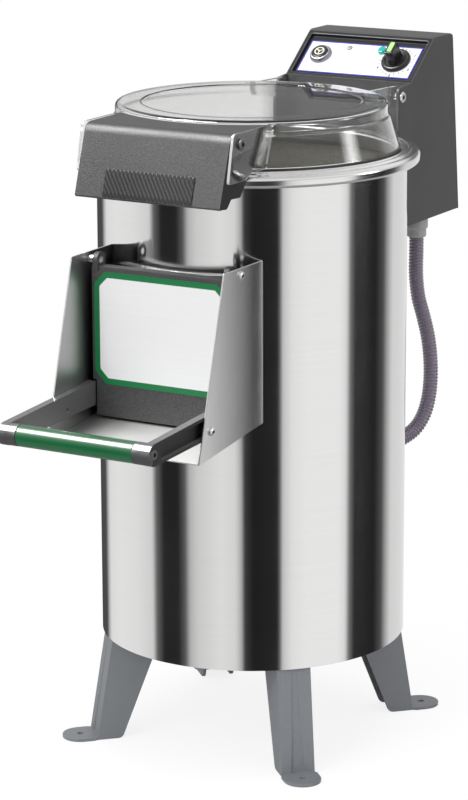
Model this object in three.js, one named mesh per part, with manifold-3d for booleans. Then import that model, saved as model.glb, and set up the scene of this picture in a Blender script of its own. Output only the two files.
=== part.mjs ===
// Floor-standing potato peeler: a steel drum on four legs with a clear lid, a front chute and a
// control box at the rear. Millimetres, +Z up, the chute faces -Y. The origin lies on the floor at the
// middle of the machine's outline; sizes below count from the drum's axis, which stands behind it.
import * as THREE from 'three';
import { mergeVertices } from 'three/addons/utils/BufferGeometryUtils.js';
import Module from 'manifold-3d';

const wasm = await Module();
wasm.setup();

// General sizes
const fitGap = 0.3;
const overrun = 6;
const drumSides = 48;
const roundSides = 12;
const smallSides = 8;
// Angles in degrees
const quarterTurn = 90;
const halfTurn = 180;

// Drum, rim and chamber
const drumAxisY = 11.3;
const drumRadius = 200;
const drumWall = 1.5;
const drumBottom = 137.5;
const drumTop = 766;
const rimOverhang = 16;
const rimInset = 17;
const rimSheet = 1.6;
const rimSeat = 778;
const rimBead = 2.5;
const rimSkirt = 16.4;
const rimRoll = 18.5;
const rimHug = 6.4;
const rimShares = [
  [0.3, 0.13], [0.38, 0.02], [0.47, 0.14], [0.6, 0.05], [0.72, 0.2], [0.84, 0.2], [0.95, 0.3], [1, 0.46],
  [0.99, 0.85], [0.93, 1],
];
const linerWall = 4.5;
const linerTop = 755;
const deckHeight = 427;
const deckWall = 3;

// Chute, neck and cheeks
const chuteFrontY = -323.5;
const chuteRise = 20;
const chuteTilt = 0.117;
const floorWall = 2;
const cheekOuter = 110;
const cheekWall = 2;
const cheekTop = 670;
const cheekTopFrontY = -261.5;
const neckHalf = 86;
const neckWall = 2;
const neckTop = 643;
const neckFrontY = -211;
const neckFlange = 4;
const neckBackShare = 0.7;
const innerFloorShare = 0.9;
const visorReach = 7.5;
const visorHeight = 647;
const visorWall = 4.5;

// Door with its label
const doorFrontY = -228;
const doorDepth = 15;
const doorWall = 4;
const doorHalf = 101;
const doorLowerHalf = 96;
const doorStepGap = 2;
const doorFloorGap = 3.8;
const doorTop = 654;
const doorPinY = -221.5;
const doorPinHeight = 661;
const doorEarRadius = 10;
const doorEarInner = 91;
const doorEarOuter = 98;
const doorEarLap = 20;
const spacerRadius = 5.5;
const labelHalf = 97;
const labelLap = 4;
const labelInset = 6;
const labelChamfer = 16;
const labelSheet = 0.8;

// Lever
const leverPinY = -294;
const leverRise = 34.5;
const gripY = -421;
const gripDrop = 0.5;
const gripRadius = 13.5;
const gripHalf = 82.5;
const hubRadius = 14;
const armInner = 97;
const armOuter = 107.4;
const armWeb = 4;
const armFlange = 4;
const armTailY = -229;
const armTailRise = 25;
const armTailDrop = 6;
const armTailCorner = 3;
const rodRadius = 5;
const screwSeat = 3.5;
const screwRadius = 7;
const pinRadius = 4;
const pinHeadRadius = 5.5;
const pinHeadHeight = 3.2;
const domeShare = 0.7;

// Legs and foot of the drum
const legTurn = 45;
const legHalf = 22;
const legSheet = 4;
const legTopRadius = 197;
const legFootRadius = 219;
const flangeTopRadius = 131;
const flangeFootRadius = 185;
const legCorner = 8;
const tabHalf = 24;
const footHoleRadius = 237;
const footHole = 4.5;
const troughTopHalf = 6;
const troughFootHalf = 15;
const troughDepth = 2;
const baseRingHeight = 150;
const baseRingWall = 3;
const baseRingInner = 128;
const boltRadius = 4;
const boltHead = 6.5;
const boltHeadHeight = 4;
const boltOuterRadius = 178;
const boltInnerRadius = 152;

// Lid with ears, arms and gasket
const lidTop = 839;
const lidWall = 3.5;
const lidWindowRadius = 142;
const lidWindowStep = 1.5;
const lidRimRadius = 175.5;
const lidBand = 15;
const lidLedge = 2.5;
const lidSkirtRadius = 189;
const gasketWall = 3.4;
const gasketInnerLap = 1.05;
const gasketOuterLip = 1.75;
const earInner = 105.2;
const earWall = 3.6;
const earFrontTopY = -235;
const earFrontLowY = -247.5;
const earTop = 835.5;
const earBottom = 776;
const earStepFront = 12;
const earStepBack = 24;
const earBackShare = 0.62;
const lidPinY = 235;
const lidPinHeight = 818;
const lidPinRadius = 5;
const lidHubRadius = 15;
const lidHubLowAngle = -110;
const lidHubHighAngle = 95;
const lidHubFootShare = 0.8;
const lidArmRootShare = 0.6;
const lidArmInner = 83;
const lidArmOuter = 89.5;

// Hood (latch) and finger pad
const hoodHalf = 103.5;
const hoodWall = 3;
const hoodFootY = -261;
const hoodFoot = 747;
const hoodBendY = -234.5;
const hoodBend = 830;
const hoodBackHeight = 833.5;
const hoodBackRadius = 181;
const hoodBackShare = 0.62;
const hoodLowerEdge = [
  [-243, 745.5], [-233, 756], [-211, 755], [-198, 770], [-186, 786], [-179, 797], [-160, 801], [-154, 813],
];
const latchPinY = -217.3;
const latchPinHeight = 821.6;
const latchPinRadius = 2.5;
const latchHeadRadius = 4.8;
const latchHeadShare = 0.7;
const padHalf = 63.5;
const padTop = 782;
const padBottom = 749.5;
const padWall = 0.8;
const padRib = 0.8;
const padRibCount = 22;
const padLean = 12;

// Control box
const boxHalf = 96;
const boxWall = 3;
const boxFrontY = 226;
const boxBottom = 640;
const boxTop = 887;
const boxSlopeFootY = 262;
const boxSlopeFoot = 834;
const boxSlopeTopY = 331;
const boxBackTopY = 386;
const boxBackFootY = 411;
const boxCorner = 8;
const coverScrewRadius = 4;
const coverScrewHeight = 2.2;
const coverEdge = 12;
const hingeHead = 7.5;
const hingeHeadHeight = 2.2;
const hingeHeadShare = 0.85;
const bayHalf = 91.5;
const bayBackY = 258;
const bayBottom = 770;
const recessHalf = 89;
const recessLow = 5;
const recessHigh = 78;
const recessDepth = 5;
const plateHalf = 85.5;
const plateLow = 9.5;
const plateHigh = 68.5;
const plateWall = 1;
const contactorHalf = 32;
const contactorDepth = 46;
const contactorHeight = 70;
const bracketHalf = 60;
const boxBracketWall = 4;
const boxBracketLow = 660;
const boxBracketHigh = 740;
const bracketFrontShare = 0.9;

// Controls, in the panel's own frame: x across, up the slope, out of it
const knobX = 55.5;
const knobUp = 40;
const knobRadius = 20.5;
const knobSkirt = 6;
const knobHeight = 27;
const knobGripHalf = 6;
const knobGripShare = 0.55;
const knobStem = 3;
const inlayHeight = 0.5;
const timerHalf = 18;
const blockHalf = 14;
const blockDepth = 30;
const stopX = -60.5;
const stopUp = 42;
const stopRadius = 15.5;
const stopCapRadius = 11.5;
const stopBezelHeight = 6.5;
const stopCapHeight = 8;
const stopStem = 7;
const stopTravel = 4;
const startX = 28;
const startUp = 57;
const startRadius = 6;
const startHeight = 5;
const startTravel = 2.5;
const lensX = -23.5;
const lensUp = 59;
const lensRadius = 4;
const lensHeight = 2;

// Drive
const shaftRadius = 10;
const shaftTail = 32;
const bearingRadius = 21;
const bearingHeight = 13;
const housingRadius = 32;
const housingLength = 97;
const housingFlangeRadius = 55;
const housingFlange = 8;
const discRadius = 186;
const discRise = 25;
const discWall = 8;
const gritWall = 5;
const gritWave = 9;
const gritWaveCount = 3;
const discHubRadius = 26;
const discHubDrop = 12;
const capRadius = 18;
const capHeight = 12;
const capTopShare = 0.7;
const capSideShare = 0.9;
const pulleyRadius = 75;
const pulleyWidth = 18;
const motorPulleyRadius = 22;
const motorY = 112;
const motorRadius = 58;
const motorClearance = 2;
const motorShaftRadius = 7;
const motorEndShare = 0.8;
const motorFootShare = 0.85;
const motorNeckShare = 0.1;
const bracketDrop = 15;
const bracketWall = 5;
const beltWall = 5;
const beltWidth = 5.5;
const standoffRadius = 6;
const standoffX = 78;
const standoffNearY = 66;
const standoffFarY = 146;
const drainX = -87;
const drainY = -57;
const drainRadius = 22;
const drainWall = 2.5;
const drainBottom = 145;
const drainFlange = 10;

// Conduit and glands
const hoseRadius = 10.2;
const hoseRibHeight = 1;
const hoseBore = 7.2;
const hosePitch = 4.4;
const ribSides = 8;
const ribsPerBoreRing = 5;
const glandNutShare = 0.5;
const glandStepShare = 0.06;
const glandCollarShare = 0.86;
const boxGlandRadius = 15.5;
const boxGlandLength = 26;
const boxGlandX = 77;
const boxGlandY = 320;
const drumGlandRadius = 13;
const drumGlandTurn = 25;
const drumGlandHeight = 352;
const drumGlandLength = 26;
// The route keeps to points chosen by eye between the two glands
const hoseRoute = [
  [77.2, 319.6, 560], [82.5, 317, 530], [93, 312, 505], [104, 305, 478], [112.5, 296, 450],
  [118, 286, 424], [121, 274, 400], [120.5, 261, 380], [115, 246, 363],
];

// Water inlet, on the drum's rear left
const inletTurn = -40;
const inletHeight = 700;
const inletRadius = 7;
const valveHalf = 16;
const valveLength = 46;
const valvePortRadius = 9.6;
const valvePortLength = 40;
const valveNutRadius = 12.8;
const nozzleRadius = 11;
const nozzleReach = 14;

// Finish colours taken from the object
const steel = new THREE.MeshStandardMaterial({ color: 0xc9cac8, roughness: 0.28, metalness: 1 });
const darkPlastic = new THREE.MeshStandardMaterial({ color: 0x4c4c4d, roughness: 0.6, metalness: 0 });
const legPaint = new THREE.MeshStandardMaterial({ color: 0x7b7e82, roughness: 0.45, metalness: 0 });
const clearPlastic = new THREE.MeshStandardMaterial({
  color: 0xf2f5f5, roughness: 0.08, metalness: 0, transparent: true, opacity: 0.35,
});
const green = new THREE.MeshStandardMaterial({ color: 0x0a8a45, roughness: 0.35, metalness: 0 });
const white = new THREE.MeshStandardMaterial({ color: 0xf4f4f4, roughness: 0.5, metalness: 0 });
const black = new THREE.MeshStandardMaterial({ color: 0x151516, roughness: 0.4, metalness: 0 });
const rubber = new THREE.MeshStandardMaterial({ color: 0x1c1c1c, roughness: 0.8, metalness: 0 });
const conduitPlastic = new THREE.MeshStandardMaterial({ color: 0x6b5f6e, roughness: 0.4, metalness: 0 });
const palePlastic = new THREE.MeshStandardMaterial({ color: 0xaaaaaa, roughness: 0.5, metalness: 0 });
const castMetal = new THREE.MeshStandardMaterial({ color: 0x9a9c9e, roughness: 0.5, metalness: 1 });
const grit = new THREE.MeshStandardMaterial({ color: 0x5b5d58, roughness: 0.95, metalness: 0 });
const teal = new THREE.MeshStandardMaterial({ color: 0x00b7a8, roughness: 0.3, metalness: 0 });

// Solids: geometry to manifold and back
function solid(geometry) {
  const bare = geometry.clone();
  bare.deleteAttribute('normal');
  bare.deleteAttribute('uv');
  const merged = mergeVertices(bare, 1e-4);
  const triVerts = new Uint32Array(merged.index.array);
  const vertProperties = new Float32Array(merged.attributes.position.array);
  if (signedVolume(vertProperties, triVerts) < 0) {
    for (let i = 0; i < triVerts.length; i += 3) {
      [triVerts[i + 1], triVerts[i + 2]] = [triVerts[i + 2], triVerts[i + 1]];
    }
  }
  return new wasm.Manifold(new wasm.Mesh({ numProp: 3, vertProperties, triVerts }));
}

function signedVolume(points, triangles) {
  const a = new THREE.Vector3();
  const b = new THREE.Vector3();
  const c = new THREE.Vector3();
  let sum = 0;
  for (let i = 0; i < triangles.length; i += 3) {
    a.fromArray(points, 3 * triangles[i]);
    b.fromArray(points, 3 * triangles[i + 1]);
    c.fromArray(points, 3 * triangles[i + 2]);
    sum += a.dot(b.cross(c));
  }
  return sum;
}

function geometryOf(body) {
  const mesh = body.getMesh();
  const geometry = new THREE.BufferGeometry();
  geometry.setAttribute('position', new THREE.BufferAttribute(new Float32Array(mesh.vertProperties), 3));
  geometry.setIndex(new THREE.BufferAttribute(new Uint32Array(mesh.triVerts), 1));
  geometry.computeVertexNormals();
  return geometry;
}

// Prisms from outlines drawn in the plane across each axis
function outline(points) {
  return new THREE.Shape(points.map(([u, v]) => new THREE.Vector2(u, v)));
}

function extrude(points, depth) {
  return new THREE.ExtrudeGeometry(outline(points), { depth, bevelEnabled: false, steps: 1 });
}

function prismX(points, low, high) {
  const turn = new THREE.Matrix4().makeBasis(
    new THREE.Vector3(0, 1, 0), new THREE.Vector3(0, 0, 1), new THREE.Vector3(1, 0, 0));
  return solid(extrude(points, high - low).applyMatrix4(turn).translate(low, 0, 0));
}

function prismY(points, low, high) {
  const turn = new THREE.Matrix4().makeBasis(
    new THREE.Vector3(1, 0, 0), new THREE.Vector3(0, 0, 1), new THREE.Vector3(0, -1, 0));
  return solid(extrude(points, high - low).applyMatrix4(turn).translate(0, high, 0));
}

function prismZ(points, low, high) {
  return solid(extrude(points, high - low).translate(0, 0, low));
}

function block(low, high) {
  const size = high.map((value, i) => value - low[i]);
  const centre = high.map((value, i) => (value + low[i]) / 2);
  return solid(new THREE.BoxGeometry(...size).translate(...centre));
}

// Turned shapes
function lathe(profile, sides = drumSides) {
  const points = profile.map(([r, z]) => new THREE.Vector2(r, z));
  return solid(new THREE.LatheGeometry(points, sides).rotateX(Math.PI / 2));
}

function closedLathe(profile, sides = drumSides) {
  return lathe([...profile, profile[0]], sides);
}

function tube(inner, outer, low, high, sides = roundSides) {
  return closedLathe([[inner, low], [outer, low], [outer, high], [inner, high]], sides);
}

function rod(radius, low, high, sides = roundSides) {
  return lathe([[0, low], [radius, low], [radius, high], [0, high]], sides);
}

// A turned shape laid along X, with its axis through (y, z)
function alongX(body, y, z) {
  return body.rotate([0, quarterTurn, 0]).translate([0, y, z]);
}

function rodX(radius, low, high, y, z, sides = roundSides) {
  return alongX(rod(radius, low, high, sides), y, z);
}

function tubeX(inner, outer, low, high, y, z, sides = roundSides) {
  return alongX(tube(inner, outer, low, high, sides), y, z);
}

// An arc of points, angles in degrees from the first axis
function arc(u, v, radius, from, to, steps) {
  return Array.from({ length: steps + 1 }, (_, i) => {
    const angle = THREE.MathUtils.degToRad(from + ((to - from) * i) / steps);
    return [u + radius * Math.cos(angle), v + radius * Math.sin(angle)];
  });
}

// A polygon with its corners rounded by straight-to-arc steps
function rounded(points, radii, steps = 4) {
  const out = [];
  points.forEach((corner, i) => {
    const radius = Array.isArray(radii) ? radii[i] : radii;
    const before = points[(i + points.length - 1) % points.length];
    const after = points[(i + 1) % points.length];
    if (!radius) {
      out.push(corner);
      return;
    }
    const c = new THREE.Vector2(...corner);
    const a = new THREE.Vector2(...before).sub(c).normalize();
    const b = new THREE.Vector2(...after).sub(c).normalize();
    const half = a.angleTo(b) / 2;
    const reach = radius / Math.tan(half);
    const centre = a.clone().add(b).normalize().multiplyScalar(radius / Math.sin(half)).add(c);
    const first = a.clone().multiplyScalar(reach).add(c).sub(centre);
    const last = b.clone().multiplyScalar(reach).add(c).sub(centre);
    const sweep = Math.PI - 2 * half;
    const side = Math.sign(first.x * last.y - first.y * last.x);
    for (let k = 0; k <= steps; k += 1) {
      const spoke = first.clone().rotateAround(new THREE.Vector2(), (side * sweep * k) / steps);
      out.push([centre.x + spoke.x, centre.y + spoke.y]);
    }
  });
  return out;
}

// An open line given a thickness to its right-hand side
function thicken(line, wall) {
  const inner = line.map((point, i) => {
    const before = line[Math.max(i - 1, 0)];
    const after = line[Math.min(i + 1, line.length - 1)];
    const normals = [];
    [[before, point], [point, after]].forEach(([p, q]) => {
      const length = Math.hypot(q[0] - p[0], q[1] - p[1]);
      if (length > 0) {
        normals.push([(q[1] - p[1]) / length, -(q[0] - p[0]) / length]);
      }
    });
    const nx = normals.reduce((sum, n) => sum + n[0], 0) / normals.length;
    const ny = normals.reduce((sum, n) => sum + n[1], 0) / normals.length;
    const scale = wall / (nx * nx + ny * ny);
    return [point[0] + nx * scale, point[1] + ny * scale];
  });
  return [...line, ...inner.reverse()];
}

function union(bodies) {
  return bodies.reduce((sum, body) => sum.add(body));
}

// Left and right copies of a piece drawn on the +X side
function mirrored(body) {
  return body.mirror([1, 0, 0]);
}

// Assembly
const machine = new THREE.Group();
machine.position.y = drumAxisY;

function place(name, body, material, parent = machine) {
  const mesh = new THREE.Mesh(geometryOf(body), material);
  mesh.name = name;
  parent.add(mesh);
  return mesh;
}

// A piece drawn on the +X side and its mirror image
function placePair(name, body, material) {
  place(`${name}_right`, body, material);
  place(`${name}_left`, mirrored(body), material);
}

// Shared places
const drumInner = drumRadius - drumWall;
const linerOuter = drumInner - fitGap;
const linerInner = linerOuter - linerWall;
const cheekInner = cheekOuter - cheekWall;
const floorHalf = cheekInner - fitGap;
const rimOuterRadius = drumRadius + rimOverhang;
const rimInnerRadius = drumRadius - rimInset;
const rimTop = rimSeat + rimBead;
const neckBackY = -linerInner * neckBackShare;
const chuteFrontHeight = deckHeight + chuteRise;
const leverPinHeight = chuteFrontHeight + leverRise;
const gripHeight = leverPinHeight - gripDrop;
const armTailTop = gripHeight + armTailRise;
const armTailBottom = gripHeight - armTailDrop;
const doorStep = armTailTop + doorStepGap;
const doorBottom = floorTop(doorFrontY) + doorFloorGap;
const labelBottom = doorStep - labelLap;
const labelTop = doorTop - labelInset;
const housingBottom = deckHeight - housingLength;
const shaftBottom = housingBottom - shaftTail;
const discHeight = deckHeight + discRise;
const bracketHeight = shaftBottom - bracketDrop;

// What the drum's outside takes away from the pieces that stand against it
const drumClear = rod(drumRadius + fitGap, drumBottom, drumTop, drumSides);

function floorTop(y) {
  return chuteFrontHeight + (y - chuteFrontY) * chuteTilt;
}

// Drum shell with the discharge opening
function dischargeCut(half) {
  const backY = -neckHalf;
  const frontY = -drumRadius - overrun;
  return prismX([
    [frontY, floorTop(frontY) - floorWall - fitGap],
    [backY, floorTop(backY) - floorWall - fitGap],
    [backY, neckTop + fitGap],
    [frontY, neckTop + fitGap],
  ], -half, half);
}

function hoseHole() {
  const body = rod(hoseBore + fitGap, -overrun, overrun + drumWall);
  return body.rotate([-quarterTurn, 0, 0]).translate([0, drumInner, drumGlandHeight])
    .rotate([0, 0, -drumGlandTurn]);
}

function inletHole(wall) {
  const body = rod(inletRadius + fitGap, -overrun - wall, overrun);
  return body.rotate([-quarterTurn, 0, 0]).translate([0, drumRadius, inletHeight])
    .rotate([0, 0, -inletTurn]);
}

const shell = tube(drumInner, drumRadius, drumBottom, drumTop, drumSides)
  .subtract(dischargeCut(neckHalf + fitGap))
  .subtract(hoseHole())
  .subtract(inletHole(drumWall));
place('drum_shell', shell, steel);

const liner = tube(linerInner, linerOuter, deckHeight + deckWall + fitGap, linerTop, drumSides)
  .subtract(dischargeCut(neckHalf + fitGap))
  .subtract(inletHole(linerWall + drumWall));
place('abrasive_liner', liner, grit);

// Rolled rim ring: a shelf for the lid, two shallow grooves, a rolled lip and an end that hugs the drum
function rimLine() {
  const width = rimOuterRadius - rimInnerRadius;
  const hugRadius = drumRadius + fitGap + rimSheet;
  return [
    [rimInnerRadius, rimSeat - rimSkirt],
    [rimInnerRadius, rimSeat - rimSheet],
    [rimInnerRadius + rimSheet, rimSeat],
    ...rimShares.map(([across, down]) => [rimInnerRadius + width * across, rimTop - rimRoll * down]),
    [hugRadius, drumTop - rimHug],
  ];
}
place('rim_ring', closedLathe(thicken(rimLine(), rimSheet)), steel);

// Chamber deck, the tank's floor
const deck = rod(linerOuter, deckHeight, deckHeight + deckWall, drumSides)
  .subtract(rod(housingRadius + fitGap, deckHeight - overrun, deckHeight + deckWall + overrun))
  .subtract(rod(drainRadius - drainWall, deckHeight - overrun, deckHeight + deckWall + overrun)
    .translate([drainX, drainY, 0]));
place('chamber_deck', deck, steel);

// Discharge neck: two sides, a top and a front flange, trimmed flush with the liner
function neckProfile(half, top, front, back) {
  return prismX([
    [front, floorTop(front) + fitGap], [back, floorTop(back) + fitGap], [back, top], [front, top],
  ], -half, half);
}
const neckInside = neckProfile(neckHalf - neckWall, neckTop - neckWall, neckFrontY - overrun,
  neckBackY + overrun);
const neckFloorCut = prismX([
  [neckFrontY - overrun, floorTop(neckFrontY - overrun) + fitGap],
  [neckBackY + overrun, floorTop(neckBackY + overrun) + fitGap],
  [neckBackY + overrun, chuteFrontHeight - overrun],
  [neckFrontY - overrun, chuteFrontHeight - overrun],
], -neckHalf, neckHalf);
const neckTube = neckProfile(neckHalf, neckTop, neckFrontY, neckBackY);
const flangeOutline = neckProfile(neckHalf + neckFlange, neckTop + neckFlange - fitGap, neckFrontY,
  neckFrontY + neckWall);
const neck = neckTube.add(flangeOutline)
  .subtract(neckInside)
  .subtract(neckFloorCut)
  .subtract(rod(linerInner, deckHeight, linerTop, drumSides));
// The curved visor strip over the neck stands on its front flange
const visor = tube(drumRadius + fitGap, drumRadius + visorReach, visorHeight,
  visorHeight + visorWall, drumSides)
  .intersect(block([-neckHalf, -drumRadius - visorReach - overrun, visorHeight - overrun],
    [neckHalf, -drumRadius / 2, visorHeight + visorWall + overrun]));
const visorFoot = block([-neckHalf / 2, -drumRadius - visorReach, neckTop - neckWall / 2],
  [neckHalf / 2, -drumRadius - visorReach / 2, visorHeight + visorWall / 2])
  .subtract(drumClear);
place('discharge_neck', union([neck, visor, visorFoot]), steel);

// Chute floor: wide between the cheeks, narrow where it passes through the drum
const floorSlab = (half, front, back) => prismX([
  [front, floorTop(front) - floorWall], [back, floorTop(back) - floorWall],
  [back, floorTop(back)], [front, floorTop(front)],
], -half, half);
const floorOuterPart = floorSlab(floorHalf, chuteFrontY, neckBackY).subtract(drumClear);
const floorInnerPart = floorSlab(neckHalf, chuteFrontY * innerFloorShare, neckBackY)
  .subtract(rod(linerInner, deckHeight, linerTop, drumSides));
place('chute_floor', floorOuterPart.add(floorInnerPart), steel);

// Cheeks with holes for the two pins
const cheekBackY = -cheekOuter;
const cheekFlat = prismX([
  [chuteFrontY, floorTop(chuteFrontY) - floorWall],
  [cheekBackY, floorTop(cheekBackY) - floorWall],
  [cheekBackY, cheekTop],
  [cheekTopFrontY, cheekTop],
], cheekInner, cheekOuter)
  .subtract(drumClear)
  .subtract(rodX(pinRadius + fitGap, cheekInner - overrun, cheekOuter + overrun, doorPinY, doorPinHeight))
  .subtract(rodX(pinRadius + fitGap, cheekInner - overrun, cheekOuter + overrun, leverPinY,
    leverPinHeight));
placePair('chute_cheek', cheekFlat, steel);

// Pins: a shank through cheek and ear or arm, with a domed head outside; a shoulder fills the space
// between the cheek and what swings
function pin(y, z, innerEnd, shoulderEnd) {
  const headLow = cheekOuter + fitGap;
  const headTop = headLow + pinHeadHeight;
  return alongX(lathe([
    [0, innerEnd], [pinRadius, innerEnd], [pinRadius, shoulderEnd], [spacerRadius, shoulderEnd],
    [spacerRadius, cheekInner - fitGap], [pinRadius, cheekInner - fitGap], [pinRadius, headLow],
    [pinHeadRadius, headLow], [pinHeadRadius, headLow + pinHeadHeight / 2],
    [pinHeadRadius * domeShare, headTop], [0, headTop],
  ], roundSides), y, z);
}
placePair('door_pin', pin(doorPinY, doorPinHeight, doorEarInner, doorEarOuter + fitGap), steel);
placePair('lever_pin', pin(leverPinY, leverPinHeight, armInner, cheekInner - 2 * fitGap), steel);

// Door: a dished plate with ears, narrower at its foot to pass between the lever arms
function doorOutline(inset) {
  const half = doorHalf - inset;
  const lowerHalf = doorLowerHalf - inset;
  const low = doorBottom + inset;
  const high = doorTop - inset;
  return [
    [-lowerHalf, low], [lowerHalf, low], [lowerHalf, doorStep + inset], [half, doorStep + inset],
    [half, high], [-half, high], [-half, doorStep + inset], [-lowerHalf, doorStep + inset],
  ];
}
const doorEarLine = [
  [doorFrontY, doorTop - doorEarRadius], [doorFrontY + doorDepth, doorTop - doorEarRadius],
  ...arc(doorPinY, doorPinHeight, doorEarRadius, -doorEarLap, halfTurn + doorEarLap, 12),
];
const doorEar = prismX(doorEarLine, doorEarInner, doorEarOuter);
const doorPinHole = rodX(pinRadius + fitGap, -cheekOuter, cheekOuter, doorPinY, doorPinHeight);
const door = prismY(doorOutline(0), doorFrontY, doorFrontY + doorDepth)
  .subtract(prismY(doorOutline(doorWall), doorFrontY + doorWall, doorFrontY + doorDepth + overrun))
  .add(doorEar)
  .add(mirrored(doorEar))
  .subtract(doorPinHole);
place('discharge_door', door, darkPlastic);

// Door seal on the neck's front flange
function sealOutline(outer) {
  const half = outer ? neckHalf : neckHalf - neckWall - neckFlange;
  const top = outer ? neckTop : neckTop - neckWall - neckFlange;
  const low = floorTop(neckFrontY) + 2 * fitGap + (outer ? 0 : neckWall + neckFlange);
  return [[-half, low], [half, low], [half, top], [-half, top]];
}
const sealBack = neckFrontY - fitGap;
const sealFront = doorFrontY + doorDepth + fitGap;
const seal = prismY(sealOutline(true), sealFront, sealBack)
  .subtract(prismY(sealOutline(false), sealFront - overrun, sealBack + overrun));
place('door_seal', seal, rubber);

// Label: one printed sheet with chamfered corners
function labelOutline(half, low, high, cut) {
  return [
    [-half + cut, low], [half - cut, low], [half, low + cut], [half, high - cut],
    [half - cut, high], [-half + cut, high], [-half, high - cut], [-half, low + cut],
  ];
}
const labelBack = doorFrontY - fitGap;
place('door_label', prismY(labelOutline(labelHalf, labelBottom, labelTop, labelChamfer),
  labelBack - labelSheet, labelBack), green);

// Lever: two channel-section arms with hubs, a grip tube, a rod through them and end screws
const armTop = gripHeight + hubRadius;
const armBottom = gripHeight - hubRadius;
const armLine = [
  [gripY, armBottom], [armTailY - armTailCorner, armTailBottom],
  [armTailY, armTailBottom + armTailCorner], [armTailY, armTailTop], [gripY, armTop],
  ...arc(gripY, gripHeight, hubRadius, quarterTurn, quarterTurn + halfTurn, 10).slice(1, -1),
];
const armRecess = [
  [gripY + hubRadius, armBottom + armFlange],
  [armTailY - armFlange - armTailCorner, armTailBottom + armFlange],
  [armTailY - armFlange, armTailBottom + armFlange + armTailCorner],
  [armTailY - armFlange, armTailTop - armFlange], [gripY + hubRadius, armTop - armFlange],
];
const pinBossRadius = pinRadius + armFlange;
const hubEnd = armOuter - screwSeat;
const arm = prismX(armLine, armInner, armOuter)
  .subtract(prismX(armRecess, armInner + armWeb, armOuter + overrun))
  .add(rodX(pinBossRadius, armInner, armOuter, leverPinY, leverPinHeight))
  .add(rodX(hubRadius, gripHalf + fitGap, armOuter, gripY, gripHeight))
  .subtract(rodX(rodRadius + fitGap, 0, armOuter + overrun, gripY, gripHeight))
  .subtract(rodX(screwRadius + fitGap, hubEnd, armOuter + overrun, gripY, gripHeight))
  .subtract(rodX(pinRadius + fitGap, 0, armOuter + overrun, leverPinY, leverPinHeight));
placePair('lever_arm', arm, darkPlastic);
place('lever_grip', tubeX(rodRadius + fitGap, gripRadius, -gripHalf, gripHalf, gripY, gripHeight), green);
const screwHead = rodX(screwRadius, hubEnd + fitGap, armOuter - fitGap, gripY, gripHeight)
  .subtract(rodX(rodRadius / 2, hubEnd + screwSeat / 2, armOuter + overrun, gripY, gripHeight, 6));
place('lever_tie_rod', rodX(rodRadius, -hubEnd - 2 * fitGap, hubEnd + 2 * fitGap, gripY, gripHeight)
  .add(screwHead).add(mirrored(screwHead)), steel);

// Legs: a leaning channel pressed from sheet, with a foot tab outward and a flange on top
const legTop = baseRingHeight - fitGap;
const webLean = (legFootRadius - legTopRadius) / drumBottom;
const flangeLean = (flangeFootRadius - flangeTopRadius) / drumBottom;
const webAt = (z) => legFootRadius - webLean * z;
const flangeAt = (z) => flangeFootRadius - flangeLean * z;
// Leg outlines are drawn as radius and height, with the radius running along -Y
function legPrism(points, low, high) {
  return prismX(points.map(([r, z]) => [-r, z]), low, high);
}
function legBody() {
  const sides = rounded([
    [webAt(0), 0], [webAt(legTop), legTop], [flangeAt(legTop), legTop], [flangeAt(0), 0],
  ], [0, 0, 0, legCorner]);
  const hollow = [
    [webAt(-overrun) - legSheet, -overrun], [webAt(legTop - legSheet) - legSheet, legTop - legSheet],
    [flangeAt(legTop) - overrun, legTop - legSheet], [flangeAt(0) - 2 * overrun, -overrun],
  ];
  const tabEnd = footHoleRadius;
  const tab = [
    [-legHalf, -webAt(0) + legSheet], [-legHalf, -webAt(0)], [-tabHalf, -webAt(0) - legSheet],
    [-tabHalf, -tabEnd],
    ...arc(0, -tabEnd, tabHalf, halfTurn, 2 * halfTurn, 12).slice(1, -1),
    [tabHalf, -tabEnd], [tabHalf, -webAt(0) - legSheet], [legHalf, -webAt(0)],
    [legHalf, -webAt(0) + legSheet],
  ];
  let leg = legPrism(sides, -legHalf, legHalf)
    .subtract(legPrism(hollow, -legHalf + legSheet, legHalf - legSheet))
    .add(prismZ(tab, 0, legSheet))
    .subtract(rod(footHole, -overrun, legSheet + overrun).translate([0, -footHoleRadius, 0]));
  [boltInnerRadius, boltOuterRadius].forEach((r) => {
    leg = leg.subtract(rod(boltRadius + fitGap, legTop - legSheet - overrun, legTop + overrun)
      .translate([0, -r, 0]));
  });
  return leg.subtract(troughCut());
}
// The pressed trough: a wedge that widens and deepens towards the foot
function troughCut() {
  const low = legSheet;
  const high = drumBottom - legSheet;
  const rows = [[low, troughFootHalf, troughDepth], [high, troughTopHalf, troughDepth / 4]];
  const corners = rows.flatMap(([z, half, depth]) => [
    [-half, -webAt(z) - overrun, z], [half, -webAt(z) - overrun, z],
    [half / 2, -webAt(z) + depth, z], [-half / 2, -webAt(z) + depth, z],
  ]);
  const faces = [
    [0, 3, 2], [0, 2, 1], [4, 5, 6], [4, 6, 7], [0, 1, 5], [0, 5, 4],
    [1, 2, 6], [1, 6, 5], [2, 3, 7], [2, 7, 6], [3, 0, 4], [3, 4, 7],
  ];
  const geometry = new THREE.BufferGeometry();
  geometry.setAttribute('position', new THREE.Float32BufferAttribute(corners.flat(), 3));
  geometry.setIndex(faces.flat());
  return solid(geometry);
}
const legTurns = {
  leg_front_left: -legTurn,
  leg_front_right: legTurn,
  leg_rear_right: halfTurn - legTurn,
  leg_rear_left: legTurn - halfTurn,
};
Object.entries(legTurns).forEach(([name, degrees]) => {
  const turned = new THREE.Group();
  turned.rotation.z = THREE.MathUtils.degToRad(degrees);
  machine.add(turned);
  place(name, legBody(), legPaint, turned);
});

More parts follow.
